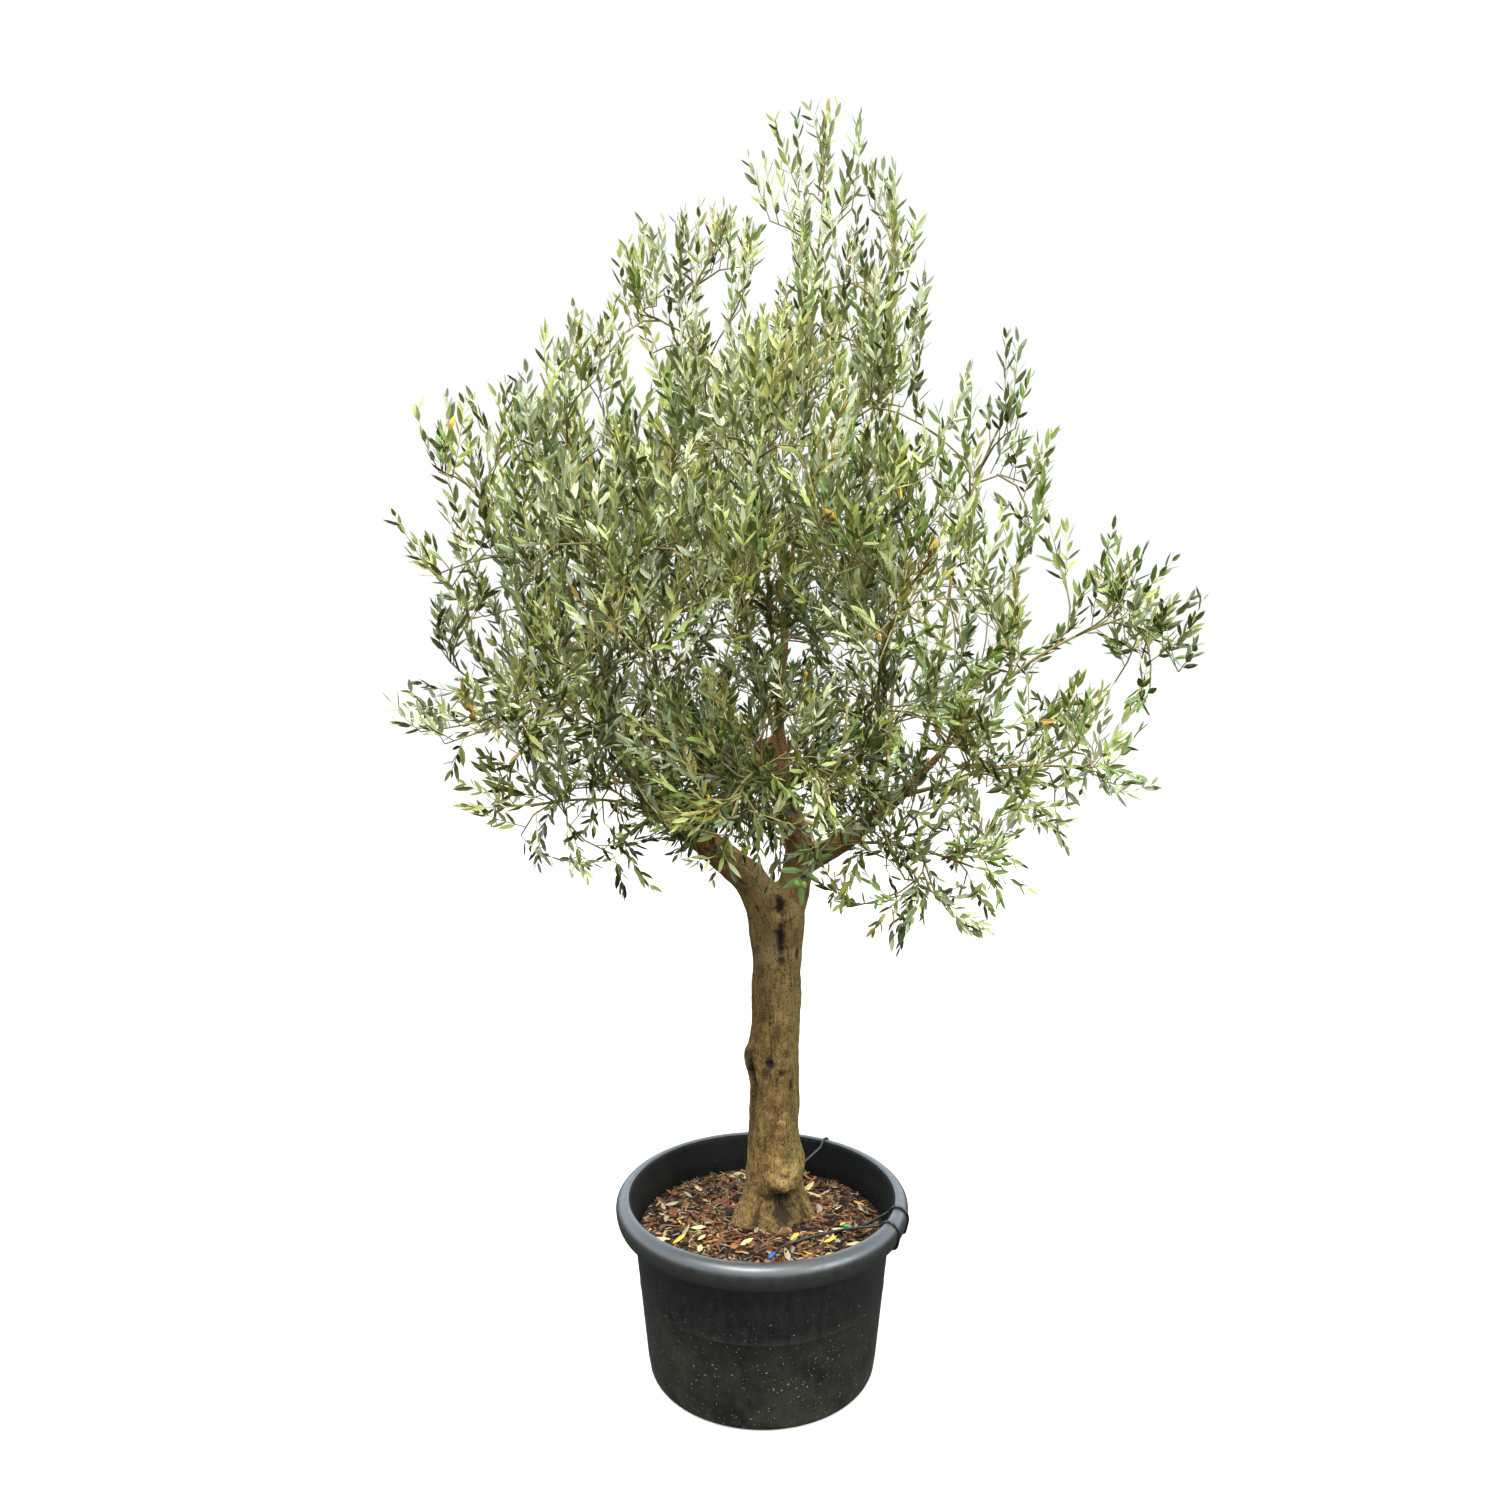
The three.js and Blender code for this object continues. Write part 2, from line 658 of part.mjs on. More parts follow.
function massSolid(mass, index, stem, obstacles) {
  const allowed = (point) => inOwnSpace(mass, point) && clearOfLimbs(obstacles, mass, point);
  const stemRadius = (share) => mix(LIMB.tip, TWIG.shootBase, share);
  const shootRadius = (share) => mix(TWIG.shootBase, TWIG.shootTip, share);
  const pieces = [taperedTube(stem, TWIG.stemRings, TWIG.sides, stemRadius)];
  pieces.push(...leafAt(stem.getPoint(1), stem.getTangent(1), index, allowed));
  for (let k = 0; k < TWIG.shoots; k++) {
    const random = randomStream(GROWTH.seedStep * (index + 1) + k);
    const path = shootPath(mass, stem, k, random, allowed);
    if (path.length <= GROWTH.fewestSteps) continue;
    const shoot = new THREE.CatmullRomCurve3(path);
    pieces.push(taperedTube(shoot, TWIG.shootRings, TWIG.sides, shootRadius));
    pieces.push(...leavesOn(shoot, random, allowed));
  }
  return largestBody(wasm.Manifold.union(pieces.map(solidOf)));
}

// Assembly
const tree = new THREE.Group();

function addNode(name, geometry, material) {
  const mesh = new THREE.Mesh(geometry, material);
  mesh.name = name;
  tree.add(mesh);
}

addNode("pot", geometryOf(solidOf(potGeometry())), plastic);
addNode("soil", geometryOf(solidOf(soilGeometry())), mulch);
addNode("trunk", geometryOf(solidOf(trunkGeometry(0))), bark);

const boughs = planBoughs();
const grownLimbs = [solidOf(trunkGeometry(GAP))];
for (const bough of boughs.values()) {
  const cut = grownLimbs.reduce((solid, limb) => solid.subtract(limb), boughSolid(bough, 0));
  grownLimbs.push(boughSolid(bough, GAP));
  addNode("bough_" + bough.mass.name, geometryOf(largestBody(cut)), bark);
}

const stems = new Map(MASSES.map((mass) => [mass.name, stemCurve(mass, boughs.get(mass.name))]));
const obstacles = obstaclePoints(boughs, stems);
MASSES.forEach((mass, index) => {
  const solid = massSolid(mass, index, stems.get(mass.name), obstacles);
  addNode("mass_" + mass.name, geometryOf(solid), foliage);
});

const DRIP_LINES = {
  drip_line_front: dripRoute([16, -184], [[42, -144], [107, -105], [185, -60]], -28),
  drip_line_side: dripRoute([196, -38], [[226, -48]], -15),
  drip_line_back: dripRoute([20, 150], [[55, 180]], 59),
};
for (const [name, route] of Object.entries(DRIP_LINES)) addNode(name, dripGeometry(route), plastic);

export default tree;
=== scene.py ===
import math
from functools import cache

import bpy
import numpy as np
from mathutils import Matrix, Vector, kdtree, noise


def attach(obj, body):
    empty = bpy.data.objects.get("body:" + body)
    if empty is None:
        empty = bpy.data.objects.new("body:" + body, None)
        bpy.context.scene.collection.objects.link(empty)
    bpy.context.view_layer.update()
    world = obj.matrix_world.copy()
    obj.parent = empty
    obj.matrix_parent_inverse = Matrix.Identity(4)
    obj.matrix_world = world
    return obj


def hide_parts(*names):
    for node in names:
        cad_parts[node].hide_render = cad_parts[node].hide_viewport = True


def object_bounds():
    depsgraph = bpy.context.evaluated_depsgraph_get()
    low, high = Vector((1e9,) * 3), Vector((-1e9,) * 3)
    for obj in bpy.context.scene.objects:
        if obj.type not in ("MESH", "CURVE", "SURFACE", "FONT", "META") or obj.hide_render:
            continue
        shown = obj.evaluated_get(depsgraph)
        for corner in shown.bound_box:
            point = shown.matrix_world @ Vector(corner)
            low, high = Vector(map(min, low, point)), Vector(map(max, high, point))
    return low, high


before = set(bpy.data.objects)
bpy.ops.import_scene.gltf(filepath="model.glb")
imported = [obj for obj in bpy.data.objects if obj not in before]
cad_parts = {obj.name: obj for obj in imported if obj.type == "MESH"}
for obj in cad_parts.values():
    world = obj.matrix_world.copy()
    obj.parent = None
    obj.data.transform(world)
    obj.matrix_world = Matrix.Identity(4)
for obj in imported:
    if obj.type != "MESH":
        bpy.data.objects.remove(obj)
cad_low, cad_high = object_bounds()

# Sizes are metres, in the frame of the solids: the pot stands on the floor at the origin, Z is up.
UP = np.array((0.0, 0.0, 1.0))
FULL_TURN = 2 * math.pi
GOLDEN_ANGLE = math.pi * (3 - math.sqrt(5))
MULCH_SEED = 20
CROWN_SEED = 8
random = np.random.default_rng(MULCH_SEED)

# Camera and floor, and for each light its place, what it aims at, its size and its power in watts.
EYE = np.array((-0.029, -2.722, 1.800))
SENSOR_WIDTH = 36
LENS = 28.39
DEGREES_DOWN = 6.30
FLOOR_HALF = 30
FLOOR_GLOW = 0.40
LIGHTS = {
    "key": ((-0.9, -2.9, 6.2), (0, 0, 1.3), 3.0, 690),
    "top": ((0.6, 0.6, 6.0), (0, 0, 1.2), 3.0, 360),
    "fill": ((3.4, -2.6, 3.0), (0.2, 0, 1.4), 2.4, 150),
}
# The sky from straight down, 0, to overhead, 1: as light, and as shiny surfaces mirror it.
SOFT_SKY = ((0.40, (0.12, 0.115, 0.10, 1)), (0.55, (0.40, 0.39, 0.365, 1)), (0.85, (0.96, 0.96, 0.93, 1)))
SHINY_SKY = ((0.50, (0.12, 0.12, 0.11, 1)), (0.62, (3.2, 3.75, 4.3, 1)), (0.90, (1.3, 1.5, 1.7, 1)))

# Pot: a rolled rim hangs outside the body, and its skirt leans in at the lip.
POT_HEIGHT = 0.430
RIM_RADIUS = 0.350
RIM_DROP = 0.058
RIM_ROUND = 0.024
RIM_INNER_ROUND = 0.012
LIP_INSET = 0.007
LIP_ROUND = 0.004
POT_TOP_RADIUS = 0.309
POT_BASE_RADIUS = 0.273
POT_BASE_ROUND = 0.016
POT_WALL = 0.006
POT_FLOOR = 0.009
FLOOR_CORNER = 0.010
POT_SEGMENTS = 144
LIP = POT_HEIGHT - RIM_DROP
LIP_RADIUS = RIM_RADIUS - LIP_INSET
CREST_RADIUS = RIM_RADIUS - RIM_ROUND
# The straight body starts here; a moulded seam runs round it, and the whole pot is slightly out of round.
BODY_FROM = 0.040
SEAM = 0.220
SEAM_HALF = 0.002
SEAM_RIDGE = 0.0007
POT_WARP = 0.0012
WARP_TURN = 0.7
# The hollow under the skirt: how far out of the body and in from the lip, and how high, it turns.
HOLLOW_INNER = (0.001, 0.008)
HOLLOW_OUTER = (0.010, 0.006)

# Mulch: level round the trunk, lower at the pot's wall, and halfway there up by a share of the difference.
# Lumps are height and scale of noise.
MULCH_EDGE = 0.344
GROUND = 0.360
MOUND_RADIUS = 0.150
MULCH_RADIUS = 0.298
MULCH_BOTTOM = 0.325
MULCH_HOLLOW = 0.4
MULCH_INNERMOST = 0.004
MULCH_RINGS = 64
MULCH_SEGMENTS = 160
MULCH_LUMPS = ((0.0035, 30), (0.0030, 95))
MULCH_SETTLED = 0.0040

# Bark chips: colour, share of all chips, and how many of the kind are slim fibres.
CHIP_COUNT = 3000
CHIPS = {
    "chips_red": ((114, 76, 50), 0.19, 0.35),
    "chips_orange": ((148, 102, 66), 0.09, 0.60),
    "chips_brown": ((76, 57, 40), 0.25, 0.30),
    "chips_tan": ((172, 146, 106), 0.14, 0.70),
    "chips_dark": ((30, 22, 16), 0.20, 0.20),
    "chips_grey": ((136, 126, 108), 0.13, 0.80),
}
CHIP_FINISH = (0.9, 0.2)
# Lengths and widths of a chip, then how it lies: tilt, roll, depth in the mulch and sideways bow.
SLIM_CHIP = ((0.016, 0.046), (0.0016, 0.0034))
FLAT_CHIP = ((0.012, 0.040), (0.006, 0.014))
CHIP_TILT = 0.22
CHIP_ROLL = 0.25
CHIP_DEPTHS = (-0.004, 0.002)
CHIP_BOWS = (-0.06, 0.10)
# A chip is this thick at most, or this share of its width, and stays this far from the mulch's edge.
CHIP_THICKNESS = 0.0018
CHIP_SLIMNESS = 0.4
CHIP_ROOM = 0.014
# A chip's three sections along its length, their half widths, and its faces over four corners a section.
CHIP_STATIONS = np.array((-0.5, -0.1, 0.5))
CHIP_HALVES = np.array((0.55, 1.0, 0.35))
CHIP_ENDS = [(0, 1, 2), (0, 2, 3), (8, 10, 9), (8, 11, 10)]
CHIP_FACES = np.array(CHIP_ENDS + [
    face
    for low in (0, 4)
    for k, n in ((0, 1), (1, 2), (2, 3), (3, 0))
    for face in ((low + k, low + 4 + n, low + n), (low + k, low + 4 + k, low + 4 + n))
])

# Fallen leaves: colour, and how often it occurs.
FALLEN_LEAVES = 75
FALLEN = {
    "fallen_yellow": ((226, 180, 70), 0.24),
    "fallen_straw": ((212, 190, 132), 0.34),
    "fallen_brown": ((158, 104, 52), 0.20),
    "fallen_grey": ((160, 146, 116), 0.22),
}
FALLEN_ROUGHNESS = 0.65
FALLEN_LIFT = 0.004
FALLEN_SIZES = (0.70, 1.10)
FALLEN_TILT = (0.05, 0.15)
FALLEN_ROLL = 0.30

# Drip lines: the emitter's finish and place, the points that the line rests on, and where it crosses
# the rim in degrees.
DRIP_RADIUS = 0.003
DRIP_ON_MULCH = 0.0045
DRIP_OVER_RIM = 0.0006
DRIP_RINGS = 110
DRIP_SIDES = 12
DRIP_SOFTENING = 6
DRIP_LINES = {
    "drip_line_front": (
        "emitter_blue", (0.016, -0.184), ((0.042, -0.144), (0.107, -0.105), (0.185, -0.060)), -28,
    ),
    "drip_line_side": ("emitter_green", (0.196, -0.038), ((0.226, -0.048),), -15),
    "drip_line_back": ("emitter_blue", (0.020, 0.150), ((0.055, 0.180),), 59),
}
# The emitter's radius along its length, in radii of the line, and where it ends beside the line's end.
EMITTER_SHAPE = np.array((1.0, 1.7, 1.7, 1.4, 1.7, 1.2))
EMITTER_ENDS = (-0.004, 0.018)

# Trunk: its foot and fork on plan, radius, root flare, fork swelling and domed top.
TRUNK_FOOT = (0.027, 0.030)
TRUNK_FORK = (0.036, 0.0)
TRUNK_TOP = 1.186
TRUNK_WAIST = 0.0585
TRUNK_DEPTH_SHARE = 0.95
TRUNK_BELOW_GROUND = 0.014
ROOT_FLARE = 0.029
FLARE_HEIGHT = 0.085
ROOT_LOBES = 5
LOBE_DEPTH = 0.13
LOBE_TURN = 0.6
FORK_SWELL = 0.009
FORK_START = 0.960
DOME_START = 1.096
DOME_DEPTH = 0.96
TRUNK_SIDES = 120
TRUNK_RINGS = 240

# Burls and the lumps on them: angle in degrees, height, size and how far each one bulges.
BURLS = (
    (192, 0.765, 0.040, 0.017), (268, 0.742, 0.022, 0.007), (288, 0.464, 0.034, 0.028),
    (345, 0.498, 0.036, 0.012), (222, 0.368, 0.038, 0.020), (326, 0.372, 0.032, 0.009),
)
LUMPS = (
    (303, 0.492, 0.013, 0.015), (277, 0.474, 0.012, 0.013), (291, 0.459, 0.012, 0.008),
    (287, 0.503, 0.011, 0.011), (313, 0.470, 0.012, 0.008), (196, 0.785, 0.012, 0.006),
    (266, 0.770, 0.010, 0.005), (250, 0.742, 0.009, 0.004),
)
# Marks sunk into the trunk, dark with painted shade in their hollows and with dark bark streaks: angle,
# height, half width, half length, depth, how dark.
MARKS = (
    (274, 1.148, 0.0120, 0.0240, 0.012, 1.00), (276, 1.066, 0.0100, 0.0380, 0.010, 1.00),
    (280, 1.012, 0.0100, 0.0120, 0.004, 0.85), (209, 0.722, 0.0085, 0.0550, 0.012, 0.97),
    (206, 0.640, 0.0100, 0.0800, 0.006, 0.50), (257, 0.760, 0.0120, 0.0130, 0.009, 0.95),
    (286, 0.736, 0.0080, 0.0070, 0.005, 0.85), (312, 0.700, 0.0055, 0.0180, 0.006, 0.95),
    (322, 1.025, 0.0060, 0.0160, 0.006, 0.95), (290, 0.425, 0.0330, 0.0180, 0.022, 0.98),
    (287, 0.396, 0.0280, 0.0300, 0.018, 0.90), (240, 0.372, 0.0050, 0.0450, 0.012, 0.70),
    (332, 0.376, 0.0050, 0.0400, 0.008, 0.60),
)
MARK_CORE = 1.7
MARK_FADE = 0.15
MARK_RAGGED = ((1.0, 75), (0.7, 190))
# The pale knob at the foot: angle, height, half width, half length.
KNOB = (292, 0.482, 0.030, 0.026)
KNOB_PALE = 0.45

# Relief of the bark, as height and scale of noise: all over, along the grain, low down and on the knob.
BARK_RELIEF = ((0.0034, 17), (0.0014, 48))
GRAIN_RELIEF = ((0.0007, 110),)
GNARLED_RELIEF = ((0.0050, 38), (0.0024, 110))
KNOB_RELIEF = ((0.011, 52), (0.006, 130))
GNARLED_TOP = 0.620
GNARLED_PALE = 0.12
# The bark is paler under the fork, as painted sunlight, and reddish above it with painted shade of the crown:
# from this height, over this stretch, by this share.
PALE_BARK = (0.820, 0.25, 0.95)
PALE_END = 0.1
PALE_PATCHES = (0.7, 0.9, 24, 1.3)
RED_SHADED_BARK = (1.200, 0.12, 0.70)
# Moss on the right, by how far the bark faces there; it ends below a height, over a stretch.
MOSS_SIDE = (0.15, 0.6, 0.55)
MOSS_TOP = 1.2
MOSS_FADE = 0.3
MOSS_PATCHES = (0.65, 0.5, 22, 1)
# How far the bark's pattern moves on for each metre along a limb, so that fissures run with the limb.
GRAIN_LINE = np.array((0.05, 0.07, 0.12))
GRAIN_SHIFT = 3
GRAIN_INSET = 0.05
GRAIN_POINTS = 160
# The skin over trunk and limbs.
SKIN_VOXEL = 0.0036
SKIN_SMOOTHING = 5

# Main limbs: where each one leaves, the points it bends through, and its radius at the base.
MAIN_LIMBS = {
    "left": (
        (0.034, 0.004, 1.010),
        ((-0.017, 0.002, 1.176), (-0.095, 0, 1.252), (-0.275, -0.008, 1.412)),
        0.052,
    ),
    "top": ((0.044, 0, 1.070), ((0.086, 0.002, 1.262), (0.042, 0.008, 1.425)), 0.043),
    "right": ((0.078, 0, 1.225), ((0.196, 0, 1.292), (0.335, 0.004, 1.408)), 0.031),
}
LIMB_TIP = 0.006
LIMB_TAPER = 0.75
LIMB_COLLAR = 0.10
COLLAR_FADE = 9
LIMB_RINGS = 90
LIMB_SIDES = 40
# Inside the crown the limbs thin to a share of the solids' radius, over a stretch of their length.
LIMB_THINS = (0.35, 0.80, 0.60)
# The leader thins more: past the pruned stub it is a younger shoot.
LEADER = "top"
LEADER_THINS = (0.27, 0.42, 0.55)
STUB = np.array(((0.044, 0.008, 1.415), (0.002, 0.004, 1.524)))
STUB_RADII = (0.029, 0.023)
STUB_RINGS = 24
CUT_SPREAD = 1.12
CUT_FACING = 0.7
CUT_DARK = 0.75
# Side boughs: radius at the base, against the limb that carries it, and in the scene against the solids.
SIDE_LIMB_BASE = 0.012
SIDE_LIMB_MOST = 0.8
SIDE_BOUGH_SHARE = 0.62
SIDE_BEND = np.array((0.6, 0.6, 0.4))
SIDE_SIDES = 10
# How uneven their radius is, as height and scale of noise.
SIDE_UNEVEN = (0.10, 40)
CURVE_POINTS = 60

# Masses of foliage: the limb and the share along it that carries each one, how full it is against the
# others, its centre and its reach.
MASSES = {
    "left": (None, 0, 0.75, (-0.580, 0.020, 2.030), (0.330, 0.365, 0.310)),
    "top": (None, 0, 0.46, (0.115, 0.045, 2.555), (0.225, 0.280, 0.415)),
    "right": (None, 0, 0.62, (0.655, 0.005, 1.765), (0.360, 0.355, 0.275)),
    "shoulder_left": ("left", 0.62, 0.65, (-0.425, -0.050, 2.205), (0.225, 0.315, 0.295)),
    "low_left": ("left", 0.50, 1.50, (-0.540, -0.025, 1.650), (0.310, 0.365, 0.255)),
    "skirt_left": ("left", 0.34, 1.35, (-0.350, -0.165, 1.425), (0.310, 0.330, 0.235)),
    "front_left": ("left", 0.42, 0.95, (-0.230, -0.370, 1.860), (0.295, 0.365, 0.350)),
    "back_left": ("left", 0.48, 0.95, (-0.315, 0.410, 1.880), (0.380, 0.405, 0.440)),
    "upper_left": ("top", 0.36, 0.80, (-0.145, 0.090, 2.345), (0.275, 0.355, 0.400)),
    "front_centre": ("top", 0.42, 1.30, (-0.005, -0.330, 2.000), (0.280, 0.355, 0.420)),
    "upper_right": ("top", 0.62, 0.52, (0.260, -0.065, 2.385), (0.195, 0.330, 0.415)),
    "back_top": ("top", 0.52, 0.65, (0.055, 0.375, 2.270), (0.365, 0.340, 0.405)),
    "front_low": ("top", 0.22, 1.75, (-0.020, -0.365, 1.505), (0.315, 0.330, 0.250)),
    "back_low": ("top", 0.28, 1.60, (0.005, 0.415, 1.455), (0.405, 0.355, 0.255)),
    "front_right": ("right", 0.30, 0.75, (0.245, -0.355, 1.840), (0.275, 0.355, 0.355)),
    "shoulder_right": ("right", 0.56, 0.50, (0.465, 0.005, 2.105), (0.220, 0.330, 0.355)),
    "low_right": ("right", 0.48, 0.90, (0.585, -0.040, 1.475), (0.310, 0.340, 0.235)),
    "skirt_right": ("right", 0.20, 1.25, (0.320, -0.170, 1.310), (0.290, 0.330, 0.230)),
    "back_right": ("right", 0.40, 0.75, (0.360, 0.395, 1.860), (0.390, 0.390, 0.425)),
}
MASS_CENTRES = np.array([mass[3] for mass in MASSES.values()])
MASS_REACHES = np.array([mass[4] for mass in MASSES.values()])
MASS_NODES = ["mass_" + name for name in MASSES]
SIDE_LIMBS = [name for name in MASSES if name not in MAIN_LIMBS]
# Where sky shows through the crown from the front: place on the plane through the trunk, half sizes, and
# the share of twigs left out there.
SKY_GAPS = (
    (-0.66, 2.37, 0.24, 0.19, 1.00), (-0.87, 2.16, 0.15, 0.18, 0.75), (-0.72, 2.14, 0.12, 0.10, 0.50),
    (-0.72, 2.02, 0.14, 0.11, 0.90), (-0.38, 2.52, 0.10, 0.12, 0.30), (-0.20, 2.50, 0.11, 0.14, 0.55),
    (-0.06, 2.47, 0.11, 0.10, 1.00), (0.00, 2.87, 0.08, 0.13, 0.60), (0.23, 2.84, 0.08, 0.14, 0.35),
    (0.27, 2.66, 0.11, 0.13, 0.45), (0.43, 2.36, 0.11, 0.22, 0.50), (0.45, 2.08, 0.11, 0.16, 0.60),
    (0.71, 2.02, 0.13, 0.10, 0.60), (0.42, 2.62, 0.09, 0.10, 0.60), (0.43, 1.86, 0.14, 0.11, 0.85),
    (0.28, 1.78, 0.10, 0.12, 0.50), (0.92, 1.87, 0.09, 0.07, 0.50), (0.60, 1.69, 0.11, 0.09, 0.70),
    (-0.75, 1.69, 0.17, 0.09, 0.85), (-0.54, 1.36, 0.09, 0.08, 0.45), (-0.22, 1.22, 0.09, 0.07, 0.60),
    (0.43, 1.36, 0.10, 0.08, 0.45), (0.26, 1.20, 0.09, 0.07, 0.50), (0.60, 1.20, 0.10, 0.08, 0.50),
)
# Where the crown is fuller: the mass, a place inside its reach, half sizes, and how many shoots more.
FULL_PLACES = (
    ("upper_left", (-0.05, 0.05, 2.62), (0.08, 0.20, 0.08), 3),
    ("top", (0.10, 0.02, 2.62), (0.06, 0.08, 0.06), 1),
    ("top", (0.12, 0.02, 2.88), (0.01, 0.02, 0.01), 1),
    ("top", (0.25, 0.02, 2.78), (0.03, 0.06, 0.03), 1),
    ("upper_right", (0.27, -0.05, 2.32), (0.08, 0.20, 0.09), 7),
    ("front_right", (0.32, -0.28, 1.57), (0.14, 0.15, 0.05), 9),
    ("front_centre", (0.06, -0.25, 1.78), (0.08, 0.12, 0.10), 6),
    ("shoulder_left", (-0.38, -0.03, 2.29), (0.07, 0.15, 0.05), 2),
    ("left", (-0.70, 0.00, 1.85), (0.09, 0.25, 0.08), 4),
    ("low_left", (-0.68, -0.02, 1.53), (0.09, 0.25, 0.08), 7),
    ("low_left", (-0.56, -0.05, 1.53), (0.12, 0.25, 0.06), 8),
    ("front_low", (-0.05, -0.30, 1.38), (0.12, 0.15, 0.06), 6),
    ("front_low", (-0.08, -0.25, 1.39), (0.09, 0.10, 0.05), 9),
    ("back_low", (-0.04, 0.28, 1.37), (0.14, 0.12, 0.07), 14),
    ("back_right", (0.10, 0.35, 1.75), (0.08, 0.15, 0.12), 5),
    ("low_right", (0.46, -0.10, 1.54), (0.10, 0.20, 0.05), 5),
    ("skirt_right", (0.42, -0.15, 1.22), (0.08, 0.15, 0.05), 3),
    ("low_right", (0.60, -0.04, 1.40), (0.10, 0.20, 0.08), 3),
    ("right", (0.90, 0.00, 1.68), (0.07, 0.15, 0.07), 4),
)
# Places kept free of leaves: in front of the pruned stub and of the left limb. Centre and half sizes.
OPEN_PLACES = (
    ((0.012, -0.260, 1.540), (0.042, 0.320, 0.052)),
    ((-0.060, -0.250, 1.285), (0.075, 0.300, 0.042)),
)

# How a mass grows, by the solids' rule: the shares are of its reach.
CROWN_FOOT = 1.290
CROWN_TOP = 2.500
DROOP = -0.3
UPRIGHT = 0.75
FOOT_SHARE = 0.6
STEM_SHARE = 0.52
STEM_PLACES = 20
SOLID_SHOOTS = 6
SHOOT_SHARE = 0.64
SHOOT_SPREAD = (0.85, 1.1)
CELL_MARGIN = 0.02
FIRST_SHOOT = 0.1
BRANCH_BACK = 0.45
FOLLOW_STEM = 0.4
STEP = 0.020
LEVEL_STEP = 0.7548776662466927
TURN_STEP = 0.5698402909980532

# Finer growth: shoots to a cubic metre of a mass's own space, twigs along a shoot, leaves along a twig.
SPACE_TRIALS = 3000
SHOOTS_PER_CUBIC_METRE = 222
LEAST_SHOOTS = 8
FINER_REACH = (0.38, 0.93)
TWIG_SPACING = 0.043
FIRST_TWIG = 0.25
TWIG_ANGLES = (0.6, 1.0)
LEAST_TWIGS = 3
BOUGH_TWIG_SPACING = 0.060
BOUGH_TWIG_ANGLE = 0.8
BARE_BELOW = 1.560
SPUR_LENGTHS = (0.07, 0.15)
WHIP_LENGTHS = (0.16, 0.30)
WHIP_SHARE = 0.36
TWIG_REACH = 0.95
TWIG_WANDER = 0.04
TWIG_JITTER = 0.03
# Share of twigs that droop at the crown's foot, and how fast it falls with the rise to the top.
DROOP_SHARE = 0.35
DROOPS_FALL = 2.5
# How a twig bends at its start and at each step: drooping, and rising at the crown's foot and near its top.
BENDS_DOWN = (-0.35, -0.05)
BENDS_UP_LOW = np.array((0.45, 0.05))
BENDS_UP_HIGH = np.array((2.0, 0.18))
# Twigs end this far inside the box round the solids, so that their last leaves stay near it.
TIP_ROOM = np.array((0.008, 0.008, 0.030))
TIPS_LOW = np.array(cad_low) + TIP_ROOM
TIPS_HIGH = np.array(cad_high) - TIP_ROOM
# Radii from base to tip, and sides of the section.
TWIG_RADII = (0.0014, 0.0008)
TWIG_SIDES = 3
SHOOT_RADII = (0.0026, 0.0015)
SHOOT_SIDES = 5
STEM_RADII = (0.0038, 0.0025)

# Leaves: they are smaller low in the crown, in its middle and at a twig's tip.
LEAF_LENGTH = 0.050
LEAF_WIDTH = 0.0130
LEAF_SPACING = 0.0240
LEAF_GAPS = 0.10
LOW_LEAVES = 0.90
MIDDLE_LEAVES = 0.78
SIDE_LEAVES_FROM = 0.80
TIP_LEAVES = 0.75
TIP_FROM = 0.85
LEAF_SIZES = (0.75, 1.15)
# Degrees between leaf and twig at the twig's start and at its tip, and how leaves stray and sag.
LEAF_ANGLES = (38, 20)
ANGLE_JITTER = 9
TURN_JITTER = 0.25
HEADING_JITTER = 0.10
NORMAL_JITTER = 0.45
LEAF_SAG = 0.06
# A leaf: where along it the outline bends, the share of its half width there, its middle, thickness, curl and
# fold, and the power by which its width follows its length.
LEAF_STATIONS = (0.32, 0.70)
LEAF_HALVES = (1.0, 0.82)
LEAF_MIDDLE = 0.5
LEAF_THICK = 0.0006
LEAF_CURL = 0.10
CURL_SPREAD = (0.6, 0.8)
LEAF_FOLD = 0.22
LEAF_SLIMMING = 0.8
LEAF_UPPER = np.array(((0, 2, 5), (0, 5, 1), (2, 4, 5), (5, 3, 1), (4, 7, 5), (5, 7, 3)))
LEAF_LOWER = np.array(((0, 6, 2), (0, 1, 6), (2, 6, 4), (6, 1, 3), (4, 6, 7), (6, 3, 7)))
LEAF_FACES = np.concatenate((LEAF_UPPER, LEAF_LOWER))

# Leaf tints: upper side, lower side, and how often a spray takes it in shade and in light.
TINTS = {
    "pale": ((159, 168, 126), (187, 195, 167), 0.10, 1.1),
    "yellow_green": ((136, 147, 80), (168, 177, 133), 0.25, 1.2),
    "olive": ((108, 114, 40), (142, 147, 88), 1.0, 1.1),
    "grey_green": ((96, 110, 74), (148, 156, 118), 0.8, 0.6),
    "deep": ((56, 66, 20), (100, 107, 58), 2.4, 0.60),
    "bronze": ((116, 107, 44), (142, 138, 80), 0.45, 0.25),
    "fresh": ((84, 108, 36), (130, 147, 82), 0.3, 0.5),
    "shade": ((38, 45, 15), (82, 88, 48), 0.0, -3.0),
}
LEAF_FINISH = (0.42, 0.4)
LEAF_BELOW_FINISH = (0.75, 0.2)
YELLOW_SHARE = 0.004
# Sprays out at the sides are in more light: by how much a metre to the left and to the right, from here out.
SIDE_LIGHT = (0.8, 2.2)
SIDE_FROM = 0.25
# To the right the fresh tint is commoner, by this factor more a metre, and high up there tints are darker.
FRESH_RIGHT = 7.0
RIGHT_SHADE = 2.0
# Low sprays within this distance of the trunk's line take darker tints, by this much at most.
INNER_RADIUS = 0.50
INNER_SHADE = 3.6

